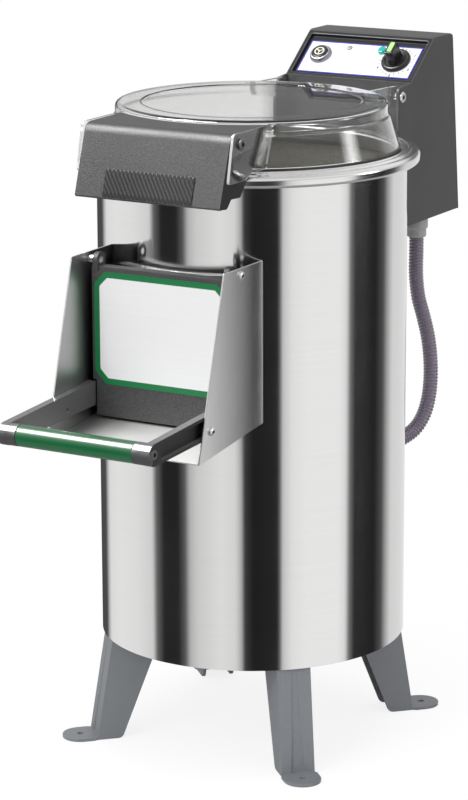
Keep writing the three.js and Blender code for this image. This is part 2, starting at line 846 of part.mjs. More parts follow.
// Base ring in the drum's foot with the welded bolts that hold the legs
const ringTop = baseRingHeight + baseRingWall;
const baseRing = tube(baseRingInner, linerOuter, baseRingHeight, ringTop, drumSides);
const boltBodies = [];
Object.values(legTurns).forEach((degrees) => {
  [boltInnerRadius, boltOuterRadius].forEach((r) => {
    const toPlace = (body) => body.translate([0, -r, 0]).rotate([0, 0, degrees]);
    const headTop = legTop - legSheet - fitGap;
    boltBodies.push(toPlace(lathe([
      [0, headTop - boltHeadHeight], [boltHead, headTop - boltHeadHeight], [boltHead, headTop],
      [boltRadius, headTop], [boltRadius, baseRingHeight + baseRingWall / 2],
      [0, baseRingHeight + baseRingWall / 2],
    ], smallSides)));
  });
});
place('base_ring', union([baseRing, ...boltBodies]), castMetal);

// Lid: a dished clear moulding with ears for the hood and arms to the rear hinge
const lidBottom = rimSeat + gasketWall + 2 * fitGap;
const lidLine = [
  [0, lidTop - lidWindowStep], [lidWindowRadius - lidWindowStep, lidTop - lidWindowStep],
  [lidWindowRadius, lidTop], [lidRimRadius - lidLedge, lidTop], [lidRimRadius, lidTop - lidLedge],
  [lidRimRadius, lidTop - lidBand], [lidRimRadius + lidLedge, lidTop - lidBand - lidLedge],
  [lidSkirtRadius, lidBottom],
];
function lidInside() {
  const innerLine = thicken(lidLine, lidWall).slice(lidLine.length).reverse();
  const low = [innerLine.at(-1)[0], lidBottom - overrun];
  return lathe([[0, low[1]], low, ...innerLine.slice(1).reverse(), [0, innerLine[1][1]]], drumSides);
}
const lidShell = lathe([
  ...lidLine, ...thicken(lidLine, lidWall).slice(lidLine.length, -1),
  [0, lidTop - lidWindowStep - lidWall],
]).subtract(block([-rimOuterRadius, -rimOuterRadius, lidBottom - overrun],
  [rimOuterRadius, rimOuterRadius, lidBottom]));
const earLine = rounded([
  [earFrontLowY, earBottom], [latchPinY + earStepFront, earBottom],
  [latchPinY + earStepBack, lidBottom + fitGap], [-drumRadius * earBackShare, lidBottom + fitGap],
  [-drumRadius * earBackShare, earTop], [earFrontTopY, earTop],
], [legCorner / 2, 0, 0, 0, 0, legCorner / 2]);
const latchHole = rodX(latchPinRadius + fitGap, 0, drumRadius, latchPinY, latchPinHeight, smallSides);
const ear = prismX(earLine, earInner, earInner + earWall).subtract(latchHole);
const lidArmLine = [
  [drumRadius * lidArmRootShare, lidTop - lidBand - lidLedge],
  [lidPinY - lidHubRadius, lidPinHeight - lidHubRadius * lidHubFootShare],
  ...arc(lidPinY, lidPinHeight, lidHubRadius, lidHubLowAngle, lidHubHighAngle, 12),
  [drumRadius * lidArmRootShare, lidTop - lidLedge],
];
const lidArm = prismX(lidArmLine, lidArmInner, lidArmOuter)
  .subtract(rodX(lidPinRadius + fitGap, 0, drumRadius, lidPinY, lidPinHeight));
const lidTrim = lidInside();
const lid = lidShell
  .add(ear.subtract(lidTrim)).add(mirrored(ear).subtract(lidTrim))
  .add(lidArm.subtract(lidTrim)).add(mirrored(lidArm).subtract(lidTrim));
place('lid', lid, clearPlastic);

place('lid_gasket', tube(lidSkirtRadius - lidWall - gasketInnerLap, lidSkirtRadius + gasketOuterLip,
  rimSeat + fitGap, rimSeat + fitGap + gasketWall, drumSides), rubber);

// Hood: a folded front cover with side cheeks, its rear edge curved round the lid
const hoodTopLine = rounded([
  [hoodFootY, hoodFoot], [hoodBendY, hoodBend], [hoodBendY * hoodBackShare, hoodBackHeight + fitGap],
], [0, legCorner, 0]);
const hoodStrip = prismX(thicken(hoodTopLine, hoodWall), -hoodHalf, hoodHalf);
const hoodCheekLine = [
  [hoodFootY, hoodFoot], ...hoodLowerEdge,
  [hoodLowerEdge.at(-1)[0] + hoodWall / 2, hoodBackHeight - hoodWall / 2],
  [hoodBendY + legCorner / 2, hoodBend - hoodWall / 2],
];
const hoodCheek = prismX(hoodCheekLine, hoodHalf - hoodWall, hoodHalf);
const latchBossRadius = latchPinRadius + hoodWall;
const latchBossLength = 3 * hoodWall;
const latchBoss = rodX(latchBossRadius, hoodHalf - hoodWall - latchBossLength, hoodHalf, latchPinY,
  latchPinHeight, smallSides);
const hood = hoodStrip.add(hoodCheek).add(mirrored(hoodCheek)).add(latchBoss).add(mirrored(latchBoss))
  .subtract(rod(hoodBackRadius, hoodBend - 4 * overrun, lidTop + overrun, drumSides))
  .subtract(rodX(latchPinRadius + fitGap, -drumRadius, drumRadius, latchPinY, latchPinHeight,
    smallSides));
// Screws through the lid's ears, on which the hood pivots
const earOuter = earInner + earWall;
const latchScrew = alongX(lathe([
  [0, hoodHalf - hoodWall - latchBossLength], [latchPinRadius, hoodHalf - hoodWall - latchBossLength],
  [latchPinRadius, earOuter + fitGap], [latchHeadRadius, earOuter + fitGap],
  [latchHeadRadius * latchHeadShare, earOuter + fitGap + latchPinRadius],
  [0, earOuter + fitGap + latchPinRadius],
], smallSides), latchPinY, latchPinHeight);
placePair('latch_screw', latchScrew, steel);

// Ribbed finger pad moulded on the hood's face, drawn in a frame that lies on that face
const faceAngle = Math.atan2(hoodBend - hoodFoot, hoodBendY - hoodFootY);
const alongFace = (z) => (z - hoodFoot) / Math.sin(faceAngle);
const padLow = alongFace(padBottom);
const padHigh = alongFace(padTop);
const padSpan = (low, high) => block([-padHalf, padLow, low], [padHalf, padHigh, high]);
const ribPitch = (2 * padHalf) / padRibCount;
const ribStart = -padHalf - padLean;
const ribTop = padWall + padRib;
const padRibs = Array.from({ length: padRibCount + Math.ceil(padLean / ribPitch) }, (_, i) => {
  const left = ribStart + i * ribPitch;
  return prismZ([
    [left + padLean, padLow], [left + padLean + ribPitch / 2, padLow], [left + ribPitch / 2, padHigh],
    [left, padHigh],
  ], 0, ribTop);
});
const padBody = padSpan(-hoodWall / 2, padWall).add(union(padRibs).intersect(padSpan(0, ribTop)))
  .rotate([THREE.MathUtils.radToDeg(faceAngle), 0, 0]).translate([0, hoodFootY, hoodFoot]);
place('latch_hood', hood.add(padBody), darkPlastic);

// Control box: shell with a sloped front, a bay for the lid's hinge and a sunken panel
const boxLine = rounded([
  [boxFrontY, boxBottom], [boxBackFootY, boxBottom], [boxBackTopY, boxTop], [boxSlopeTopY, boxTop],
  [boxSlopeFootY, boxSlopeFoot], [boxFrontY, boxSlopeFoot - boxWall],
], [0, 0, boxCorner, boxCorner / 2, 0, boxCorner]);
const boxInside = [
  [boxFrontY + boxWall, boxBottom + boxWall], [boxBackFootY + overrun, boxBottom + boxWall],
  [boxBackTopY + 2 * overrun, boxTop - boxWall], [boxSlopeTopY + boxWall / 2, boxTop - boxWall],
  [boxSlopeFootY + boxWall / 2, boxSlopeFoot - boxWall],
  [boxFrontY + boxWall, boxSlopeFoot - 2 * boxWall],
];
const backSlope = (boxBackFootY - boxBackTopY) / (boxTop - boxBottom);
const backAt = (z) => boxBackFootY - backSlope * (z - boxBottom);
const behindCover = (gap) => prismX([
  [backAt(boxBottom - overrun) - boxWall - gap, boxBottom - overrun],
  [boxBackFootY + 4 * overrun, boxBottom - overrun],
  [boxBackFootY + 4 * overrun, boxTop + overrun],
  [backAt(boxTop + overrun) - boxWall - gap, boxTop + overrun],
], -boxHalf - overrun, boxHalf + overrun);

const panelTilt = Math.atan2(boxTop - boxSlopeFoot, boxSlopeTopY - boxSlopeFootY);
const panelMatrix = new THREE.Matrix4().makeRotationX(panelTilt).setPosition(0, boxSlopeFootY, boxSlopeFoot);
function toPanel(body) {
  const degrees = THREE.MathUtils.radToDeg(panelTilt);
  return body.rotate([degrees, 0, 0]).translate([0, boxSlopeFootY, boxSlopeFoot]);
}
const recessFloor = -recessDepth;
const panelBack = recessFloor - boxWall;
const recess = prismZ([
  [-recessHalf, recessLow], [recessHalf, recessLow], [recessHalf, recessHigh], [-recessHalf, recessHigh],
], recessFloor, overrun);
const recessBacking = block([-recessHalf - boxWall, recessLow - boxWall / 2, panelBack],
  [recessHalf + boxWall, recessHigh + boxWall / 2, 0]);
const stemHoles = union([
  rod(knobStem + fitGap, panelBack - overrun, overrun).translate([knobX, knobUp, 0]),
  rod(stopStem + fitGap, panelBack - overrun, overrun).translate([stopX, stopUp, 0]),
  rod(startRadius + fitGap, panelBack - overrun, overrun).translate([startX, startUp, 0]),
]);
const bayBlock = block([-boxHalf + boxWall, boxFrontY + boxWall / 2, bayBottom - boxWall],
  [boxHalf - boxWall, bayBackY + boxWall, boxSlopeFoot - boxWall / 2]);
const bay = block([-bayHalf, boxFrontY - overrun, bayBottom], [bayHalf, bayBackY, boxSlopeFoot + overrun]);
const boxGlandHole = rod(hoseBore + fitGap, boxBottom - overrun, boxBottom + boxWall + overrun)
  .translate([boxGlandX, boxGlandY, 0]);
const hingeHole = rodX(lidPinRadius + fitGap, -boxHalf - overrun, boxHalf + overrun, lidPinY, lidPinHeight);
const boxOuter = prismX(boxLine, -boxHalf, boxHalf);
const controlBox = boxOuter
  .subtract(prismX(boxInside, -boxHalf + boxWall, boxHalf - boxWall))
  .add(bayBlock.intersect(boxOuter))
  .add(toPanel(recessBacking).intersect(boxOuter))
  .subtract(bay)
  .subtract(toPanel(recess))
  .subtract(toPanel(stemHoles))
  .subtract(boxGlandHole)
  .subtract(hingeHole)
  .subtract(behindCover(fitGap));
place('control_box', controlBox, darkPlastic);

// Back cover with captive screws near its corners
const coverTurn = THREE.MathUtils.radToDeg(Math.atan(backSlope));
const coverScrew = (x, z) => rod(coverScrewRadius, -boxWall / 2, coverScrewHeight, smallSides)
  .rotate([coverTurn - quarterTurn, 0, 0]).translate([x, backAt(z), z]);
const coverScrews = [-1, 1].flatMap((side) => [
  coverScrew(side * (boxHalf - coverEdge), boxBottom + coverEdge),
  coverScrew(side * (boxHalf - coverEdge), boxTop - 2 * coverEdge),
]);
place('box_back_cover', union([boxOuter.intersect(behindCover(0)), ...coverScrews]), darkPlastic);

// Hinge screws from outside the box cheeks into the lid's arms
const hingeScrew = alongX(lathe([
  [0, lidArmInner], [lidPinRadius, lidArmInner], [lidPinRadius, boxHalf + fitGap],
  [hingeHead, boxHalf + fitGap], [hingeHead * hingeHeadShare, boxHalf + fitGap + hingeHeadHeight],
  [0, boxHalf + fitGap + hingeHeadHeight],
], roundSides), lidPinY, lidPinHeight);
placePair('lid_hinge_screw', hingeScrew, steel);

// Panel plate and controls, in the panel's own frame
const panel = new THREE.Group();
panel.applyMatrix4(panelMatrix);
machine.add(panel);
const plateBack = recessFloor + fitGap;
const plateFront = plateBack + plateWall;
const panelPlate = block([-plateHalf, plateLow, plateBack], [plateHalf, plateHigh, plateFront])
  .subtract(stemHoles)
  .subtract(rod(lensRadius + fitGap, plateBack - overrun, overrun).translate([lensX, lensUp, 0]));
place('panel_plate', panelPlate, white, panel);

const switchTop = panelBack - fitGap;
const knobLow = plateFront + fitGap;
const knob = rod(knobRadius, knobLow, knobLow + knobSkirt)
  .add(block([-knobGripHalf, -knobRadius * knobGripShare, knobLow + knobSkirt / 2],
    [knobGripHalf, knobRadius * knobGripShare, knobLow + knobHeight]))
  .add(rod(knobStem, switchTop - blockHalf / 2, knobLow + knobSkirt / 2))
  .add(block([-knobGripHalf / 2, 0, knobLow + knobHeight / 2],
    [knobGripHalf / 2, knobRadius * knobGripShare, knobLow + knobHeight + inlayHeight]))
  .translate([knobX, knobUp, 0]);
place('timer_knob', knob, black, panel);

const timerUnit = block([knobX - timerHalf, knobUp - timerHalf, switchTop - blockDepth],
  [knobX + timerHalf, knobUp + timerHalf, switchTop])
  .subtract(rod(knobStem + fitGap, switchTop - blockHalf / 2 - fitGap, overrun)
    .translate([knobX, knobUp, 0]));
place('timer_unit', timerUnit, black, panel);

const bezel = tube(stopCapRadius + fitGap, stopRadius, knobLow, knobLow + stopBezelHeight)
  .translate([stopX, stopUp, 0]);
place('stop_bezel', bezel, castMetal, panel);
const stopButton = rod(stopCapRadius, knobLow + stopTravel, knobLow + stopCapHeight)
  .add(rod(stopStem, switchTop - stopTravel, knobLow + stopTravel + fitGap))
  .translate([stopX, stopUp, 0]);
place('stop_button', stopButton, black, panel);
const startButton = rod(startRadius, switchTop - startTravel, plateFront + startHeight)
  .translate([startX, startUp, 0]);
place('start_button', startButton, teal, panel);
const switchBlock = (x, up, stem, travel, side) => block([x - side, up - blockHalf, switchTop - blockDepth],
  [x + side, up + blockHalf, switchTop])
  .subtract(rod(stem + fitGap, switchTop - 2 * travel - fitGap, overrun).translate([x, up, 0]));
const startSide = startRadius + boxWall;
// Both switches sit on one carrier strip at their backs
const carrier = block([stopX, stopUp - blockHalf / 2, switchTop - blockDepth - boxWall],
  [startX, startUp, switchTop - blockDepth + fitGap]);
place('switch_carrier', union([
  carrier, switchBlock(stopX, stopUp, stopStem, stopTravel, blockHalf),
  switchBlock(startX, startUp, startRadius, startTravel, startSide),
]), black, panel);
place('pilot_lens', rod(lensRadius, plateBack, plateFront + lensHeight).translate([lensX, lensUp, 0]),
  palePlastic, panel);

// Contactor on the box's inner front wall, and the bracket between box and drum
const contactorLow = boxBottom + boxWall + fitGap;
place('contactor', block([-contactorHalf, boxFrontY + boxWall + fitGap, contactorLow],
  [contactorHalf, boxFrontY + boxWall + fitGap + contactorDepth, contactorLow + contactorHeight]), black);

const bracketFrontY = drumRadius * bracketFrontShare;
const boxBracket = block([-bracketHalf, bracketFrontY, boxBracketLow],
  [bracketHalf, boxFrontY - fitGap, boxBracketHigh])
  .subtract(block([-bracketHalf + boxBracketWall, bracketFrontY - overrun, boxBracketLow - overrun],
    [bracketHalf - boxBracketWall, boxFrontY - fitGap - boxBracketWall, boxBracketHigh + overrun]))
  .subtract(drumClear);
place('box_bracket', boxBracket, steel);

// Drive: housing, bearings, seal, shaft, disc and pulley
// A faceted bore that a faceted shaft turns in keeps its gap at every angle
const turningBore = (radius) => (radius + fitGap) / Math.cos(Math.PI / roundSides);
const shaftBore = turningBore(shaftRadius);
const bearingBore = bearingRadius + fitGap;
const flangeTop = deckHeight - fitGap;
const housingTop = deckHeight + deckWall + fitGap + boxWall;
const housing = closedLathe([
  [bearingBore, housingBottom], [housingRadius, housingBottom], [housingRadius, flangeTop - housingFlange],
  [housingFlangeRadius, flangeTop - housingFlange], [housingFlangeRadius, flangeTop],
  [housingRadius, flangeTop], [housingRadius, housingTop], [bearingBore, housingTop],
], roundSides);
place('bearing_housing', housing, castMetal);
const bearing = (low) => tube(shaftBore, bearingRadius, low, low + bearingHeight);
place('lower_bearing', bearing(housingBottom + fitGap), castMetal);
place('upper_bearing', bearing(housingTop - 2 * bearingHeight), castMetal);
place('shaft_seal', tube(shaftBore, bearingRadius, housingTop - bearingHeight + fitGap, housingTop),
  rubber);

const discTop = discHeight + discWall;
const gritTop = discTop + gritWall;
const capLow = gritTop + fitGap;
const shaft = rod(shaftRadius, shaftBottom, gritTop);
place('drive_shaft', shaft, steel);
const discHub = discHeight - discHubDrop;
const disc = closedLathe([
  [shaftBore, discHub], [discHubRadius, discHub], [discHubRadius, discHeight], [discRadius, discHeight],
  [discRadius, discTop], [shaftBore, discTop],
], drumSides);
// The bonded grit layer carries rounded waves that lift the load
const gritRadius = discRadius - gritWall;
const wave = alongX(rod(2 * gritWave, discHubRadius, gritRadius - gritWave, smallSides), 0,
  gritTop - gritWave);
const waveTurn = (2 * halfTurn) / gritWaveCount;
const waves = Array.from({ length: gritWaveCount }, (_, i) => wave.rotate([0, 0, i * waveTurn]));
const gritLayer = tube(shaftBore, gritRadius, discTop - discWall / 2, gritTop, drumSides)
  .add(union(waves).subtract(block([-gritRadius, -gritRadius, discTop - gritRadius],
    [gritRadius, gritRadius, discTop])));
place('abrasive_disc', disc.add(gritLayer), grit);
const cap = lathe([
  [0, capLow], [capRadius, capLow], [capRadius, capLow + capHeight / 2],
  [capRadius * capTopShare, capLow + capHeight * capSideShare], [0, capLow + capHeight],
], roundSides);
place('disc_cap', cap, steel);
const pulley = (bore, radius, low) => closedLathe([
  [bore, low], [radius, low], [radius - beltWall, low + pulleyWidth / 3],
  [radius - beltWall, low + (2 * pulleyWidth) / 3], [radius, low + pulleyWidth], [bore, low + pulleyWidth],
], roundSides);
const pulleyLow = shaftBottom;
place('driven_pulley', pulley(shaftBore, pulleyRadius, pulleyLow), castMetal);

// Motor hangs under its bracket; the bracket hangs from the deck on standoffs
const motorTop = bracketHeight - fitGap;
const motorHeight = motorTop - ringTop - motorClearance;
const motor = lathe([
  [0, motorTop - motorHeight], [motorRadius * motorEndShare, motorTop - motorHeight],
  [motorRadius, motorTop - motorHeight * motorFootShare],
  [motorRadius, motorTop - motorHeight * motorNeckShare],
  [motorRadius * motorEndShare, motorTop], [0, motorTop],
], roundSides).subtract(rod(motorShaftRadius + fitGap, motorTop - motorHeight / 4, motorTop + overrun))
  .translate([0, motorY, 0]);
place('motor', motor, castMetal);
const rotor = rod(motorShaftRadius, motorTop - motorHeight / 4 + fitGap, pulleyLow + pulleyWidth)
  .translate([0, motorY, 0]);
place('motor_pulley', pulley(motorShaftRadius - fitGap, motorPulleyRadius, pulleyLow)
  .translate([0, motorY, 0]).add(rotor), castMetal);
const bracketTop = bracketHeight + bracketWall;
const bracketEdge = 2 * standoffRadius;
const motorBracket = prismZ(rounded([
  [-standoffX - bracketEdge, standoffNearY - bracketEdge],
  [standoffX + bracketEdge, standoffNearY - bracketEdge],
  [standoffX + bracketEdge, standoffFarY + bracketEdge / 2],
  [-standoffX - bracketEdge, standoffFarY + bracketEdge / 2],
], legCorner), bracketHeight, bracketTop)
  .subtract(rod(motorShaftRadius + bracketEdge, bracketHeight - overrun, bracketTop + overrun)
    .translate([0, motorY, 0]));
const standoff = rod(standoffRadius, bracketTop - bracketWall / 2, deckHeight - fitGap, smallSides);
const standoffs = [-1, 1].flatMap((side) => [standoffNearY, standoffFarY]
  .map((y) => standoff.translate([side * standoffX, y, 0])));
place('motor_bracket', union([motorBracket, ...standoffs]), castMetal);

// Belt: the band between two loops that wrap both pulleys on their outer tangents
function beltLoop(extra) {
  const large = pulleyRadius - beltWall + extra;
  const small = motorPulleyRadius - beltWall + extra;
  const lean = THREE.MathUtils.radToDeg(Math.asin((large - small) / motorY));
  return [
    ...arc(0, 0, large, halfTurn - lean, 2 * halfTurn + lean, 28),
    ...arc(0, motorY, small, lean, halfTurn - lean, 12),
  ];
}
const beltLow = pulleyLow + (pulleyWidth - beltWidth) / 2;
const belt = prismZ(beltLoop(beltWall), beltLow, beltLow + beltWidth)
  .subtract(prismZ(beltLoop(fitGap), beltLow - overrun, beltLow + beltWidth + overrun));
place('drive_belt', belt, rubber);

// Drain under the deck
const drain = closedLathe([
  [drainRadius - drainWall, drainBottom], [drainRadius, drainBottom],
  [drainRadius, flangeTop - drainWall], [drainRadius + drainFlange, flangeTop - drainWall],
  [drainRadius + drainFlange, flangeTop], [drainRadius - drainWall, flangeTop],
], roundSides).translate([drainX, drainY, 0]);
place('drain_pipe', drain, palePlastic);

// Water inlet: a valve outside the drum's rear left, a nozzle inside the chamber
const valveBack = drumRadius + fitGap;
const pipeStart = linerInner - nozzleReach / 2;
const outward = (radius, low, high) => rod(radius, low, high).rotate([-quarterTurn, 0, 0])
  .translate([0, 0, inletHeight]).rotate([0, 0, -inletTurn]);
const valve = block([-valveHalf, valveBack + valveHalf, -valveHalf],
  [valveHalf, valveBack + valveLength, valveHalf])
  .add(rod(valvePortRadius, -valvePortLength, 0).translate([0, valveBack + valveLength - valveHalf, 0]))
  .translate([0, 0, inletHeight]).rotate([0, 0, -inletTurn])
  .add(outward(valveNutRadius, valveBack - overrun, valveBack + valveHalf + overrun)
    .subtract(drumClear))
  .add(outward(inletRadius, pipeStart, valveBack + valveHalf));
const nozzle = outward(nozzleRadius, linerInner - nozzleReach, linerInner)
  .intersect(rod(linerInner - fitGap, deckHeight, linerTop, drumSides));
place('water_inlet', valve.add(nozzle), palePlastic);

// Glands at both ends of the conduit
function glandLine(radius, low, length) {
  const nutEnd = low + length * glandNutShare;
  return [
    [hoseBore, low], [radius, low], [radius, nutEnd],
    [radius * glandCollarShare, nutEnd + length * glandStepShare],
    [radius * glandCollarShare, low + length], [hoseBore, low + length],
  ];
}
const boxGlandEnd = boxBottom - fitGap - boxGlandLength;
const boxGland = closedLathe(glandLine(boxGlandRadius, fitGap, boxGlandLength), roundSides)
  .rotate([halfTurn, 0, 0]).translate([boxGlandX, boxGlandY, boxBottom]);
const drumGlandLow = drumInner + drumWall / 2;
const drumGland = closedLathe(glandLine(drumGlandRadius, drumGlandLow, drumGlandLength), roundSides)
  .rotate([-quarterTurn, 0, 0]).translate([0, 0, drumGlandHeight]).rotate([0, 0, -drumGlandTurn])
  .subtract(drumClear);
place('gland_box', boxGland, palePlastic);
place('gland_drum', drumGland, palePlastic);

// Conduit: one ribbed tube with a bore along the route between the glands
function hosePath() {
  const turn = THREE.MathUtils.degToRad(drumGlandTurn);
  const outward = new THREE.Vector3(Math.sin(turn), Math.cos(turn), 0);
  const straight = 2 * hoseRadius;
  const start = new THREE.Vector3(boxGlandX, boxGlandY, boxGlandEnd - fitGap);
  const endReach = drumGlandLow + drumGlandLength + fitGap;
  const end = outward.clone().multiplyScalar(endReach).setZ(drumGlandHeight);
  const points = [
    start, start.clone().setZ(start.z - straight / 2), start.clone().setZ(start.z - straight),
    ...hoseRoute.map((point) => new THREE.Vector3(...point)),
    end.clone().addScaledVector(outward, straight),
    end.clone().addScaledVector(outward, straight / 2), end,
  ];
  return new THREE.CatmullRomCurve3(points, false, 'centripetal');
}

function ribbedHose() {
  const curve = hosePath();
  const length = curve.getLength();
  const ribs = Math.round(length / hosePitch);
  const samples = 2 * ribs;
  const rings = [];
  let side = new THREE.Vector3(1, 0, 0);
  for (let i = 0; i <= samples; i += 1) {
    const share = i / samples;
    const centre = curve.getPointAt(share);
    const tangent = curve.getTangentAt(share);
    side = side.clone().addScaledVector(tangent, -side.dot(tangent)).normalize();
    rings.push({ centre, side, up: new THREE.Vector3().crossVectors(tangent, side) });
  }
  const points = [];
  const faces = [];
  const addRing = (ring, radius) => {
    const first = points.length / 3;
    for (let k = 0; k < ribSides; k += 1) {
      const angle = (2 * Math.PI * k) / ribSides;
      const point = ring.centre.clone().addScaledVector(ring.side, radius * Math.cos(angle))
        .addScaledVector(ring.up, radius * Math.sin(angle));
      points.push(point.x, point.y, point.z);
    }
    return first;
  };
  const join = (first, second) => {
    for (let k = 0; k < ribSides; k += 1) {
      const next = (k + 1) % ribSides;
      faces.push(first + k, first + next, second + next, first + k, second + next, second + k);
    }
  };
  const outer = rings.map((ring, i) => addRing(ring, i % 2 ? hoseRadius : hoseRadius - hoseRibHeight));
  const boreSteps = 2 * ribsPerBoreRing;
  const boreRings = rings.filter((_, i) => i % boreSteps === 0 || i === samples);
  const bore = boreRings.map((ring) => addRing(ring, hoseBore));
  outer.slice(1).forEach((ring, i) => join(outer[i], ring));
  bore.slice(1).forEach((ring, i) => join(ring, bore[i]));
  join(bore[0], outer[0]);
  join(outer.at(-1), bore.at(-1));
  const geometry = new THREE.BufferGeometry();
  geometry.setAttribute('position', new THREE.Float32BufferAttribute(points, 3));
  geometry.setIndex(faces);
  return solid(geometry);
}
place('conduit', ribbedHose(), conduitPlastic);

export default machine;
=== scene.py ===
"""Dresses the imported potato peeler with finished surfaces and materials. Lengths in the shape functions
are millimetres counted from the drum's axis on the floor, and metres() turns them into the frame's."""

import math

import bmesh
import bpy
import numpy as np
from mathutils import Matrix, Vector


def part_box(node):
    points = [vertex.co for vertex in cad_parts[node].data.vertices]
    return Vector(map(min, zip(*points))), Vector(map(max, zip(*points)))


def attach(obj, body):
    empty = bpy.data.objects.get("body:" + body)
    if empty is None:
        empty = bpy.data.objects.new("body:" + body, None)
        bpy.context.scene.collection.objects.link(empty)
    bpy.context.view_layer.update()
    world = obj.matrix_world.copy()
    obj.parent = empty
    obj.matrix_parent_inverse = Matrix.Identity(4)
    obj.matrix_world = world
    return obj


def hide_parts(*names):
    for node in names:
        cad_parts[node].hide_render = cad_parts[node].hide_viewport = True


bl_info = {
    "name": "Potato peeler",
    "version": (1, 0, 0),
    "blender": (4, 5, 0),
    "location": "View3D > Sidebar > Peeler",
    "description": "Drum, lid, chute, control box and stage of a floor-standing potato peeler",
    "category": "Object",
}

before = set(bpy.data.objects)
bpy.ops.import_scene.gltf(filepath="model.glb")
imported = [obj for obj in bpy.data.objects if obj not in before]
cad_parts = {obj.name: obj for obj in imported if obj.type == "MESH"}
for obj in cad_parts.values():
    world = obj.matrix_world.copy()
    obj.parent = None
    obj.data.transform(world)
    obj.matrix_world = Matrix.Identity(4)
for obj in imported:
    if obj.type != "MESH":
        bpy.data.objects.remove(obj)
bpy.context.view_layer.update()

MM = 0.001
AXIS_Y = 1000 * sum(corner[1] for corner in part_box("drum_shell")) / 2
# Clearance between pieces that stand against each other
GAP = 0.3

DRUM_RADIUS, DRUM_WALL, DRUM_BOTTOM, DRUM_TOP = 200, 1.5, 137.5, 766
NECK_HALF, NECK_TOP, NECK_FRONT, NECK_BACK = 86, 643, -230, -86
CHUTE_FRONT_Y, CHUTE_FRONT_HEIGHT, CHUTE_SLOPE, CHUTE_SHEET = -323.5, 447, 0.117, 2
LINER_INNER, LINER_OUTER, LINER_TOP, DECK_TOP = 193.7, 198.2, 755, 430
DISC_TOP, DISC_NUT_TOP = 465, 477.3
LID_WINDOW, LID_FOOT = 837.5, 782

# Axes that run from side to side, as (y, z)
LID_PIN, LATCH_PIN = (235, 818), (-217.3, 821.6)
DOOR_PIN, LEVER_PIN, GRIP = (-221.5, 661), (-294, 481.5), (-421, 481)
SIDES = ((1, "right"), (-1, "left"))

# The sloped panel's lower edge as (y, z), its angle, and what stands on it as (across, up)
PANEL_FOOT, PANEL_TILT = (262, 834), math.atan2(53, 69)
KNOB, STOP, START, LENS = (55.5, 40), (-60.5, 42), (28, 57), (-23.5, 59)
BUTTON_HOLES = [(3.3, KNOB), (7.3, STOP), (6.3, START)]
LENS_HOLE = (4.3, LENS)
PLATE_BACK, PLATE_FRONT = -4.7, -3.7

# The label's front and back as y, its middle height, and half its width and height with its cut corners
LABEL_FRONT, LABEL_BACK, LABEL_MIDDLE = -229.05, -228.3, 576
LABEL_HALF, LABEL_RISE, LABEL_CUT = 97, 72, 16
# Half the printed plate's width, and its lower and upper edge up the panel
PLATE_HALF, PLATE_LOW, PLATE_HIGH = 85.5, 9.5, 68.5
# The conduit's ends: the box gland's place, and the drum gland's height and degrees from the rear
BOX_GLAND, DRUM_GLAND_HEIGHT, DRUM_GLAND_TURN = (77, 320, 640), 352, 25
GLAND_LENGTH = 26
# Holes in the drum's wall as radius, height and degrees from the rear
GLAND_HOLE, INLET_HOLE = (7.5, DRUM_GLAND_HEIGHT, DRUM_GLAND_TURN), (7.3, 700, -40)


def tint(red, green, blue):
    """A screen colour from 0 to 255 as Blender's linear colour."""
    share = np.array([red, green, blue]) / 255
    return tuple(np.where(share <= 0.04045, share / 12.92, ((share + 0.055) / 1.055) ** 2.4))


# Settings that a user would change


class PeelerFinish(bpy.types.PropertyGroup):
    """Colours and edge sizes of the machine"""

    hood_colour: bpy.props.FloatVectorProperty(
        name="Hood", description="Textured hood", subtype="COLOR", min=0, max=1,
        default=tint(42, 42, 43))
    door_colour: bpy.props.FloatVectorProperty(
        name="Door", description="Textured door", subtype="COLOR", min=0, max=1,
        default=tint(60, 60, 61))
    box_colour: bpy.props.FloatVectorProperty(
        name="Box", description="Control box", subtype="COLOR", min=0, max=1,
        default=tint(58, 58, 59))
    leg_colour: bpy.props.FloatVectorProperty(
        name="Legs", description="Leg paint", subtype="COLOR", min=0, max=1,
        default=tint(112, 115, 119))
    grip_colour: bpy.props.FloatVectorProperty(
        name="Grip", description="Lever grip", subtype="COLOR", min=0, max=1,
        default=tint(4, 84, 44))
    border_colour: bpy.props.FloatVectorProperty(
        name="Label border", description="Border of the door label", subtype="COLOR", min=0, max=1,
        default=tint(2, 108, 58))
    line_colour: bpy.props.FloatVectorProperty(
        name="Panel border", description="Border of the control panel", subtype="COLOR", min=0, max=1,
        default=tint(42, 47, 181))
    conduit_colour: bpy.props.FloatVectorProperty(
        name="Conduit", description="Ribbed conduit", subtype="COLOR", min=0, max=1,
        default=tint(106, 95, 112))
    steel_colour: bpy.props.FloatVectorProperty(
        name="Steel", description="Stainless steel", subtype="COLOR", min=0, max=1,
        default=(0.78, 0.78, 0.775))
    hood_edge: bpy.props.FloatProperty(
        name="Hood edge", description="Rounding of the hood's edges", unit="LENGTH", min=0, default=0.0016)
    box_edge: bpy.props.FloatProperty(
        name="Box edge", description="Rounding of the box's edges", unit="LENGTH", min=0, default=0.002)
    leg_edge: bpy.props.FloatProperty(
        name="Leg edge", description="Rounding of the legs' edges", unit="LENGTH", min=0, default=0.0012)
    brush_pitch: bpy.props.FloatProperty(
        name="Brush pitch", description="Spacing of the brushed lines", unit="LENGTH", min=0.0001,
        default=0.0011)


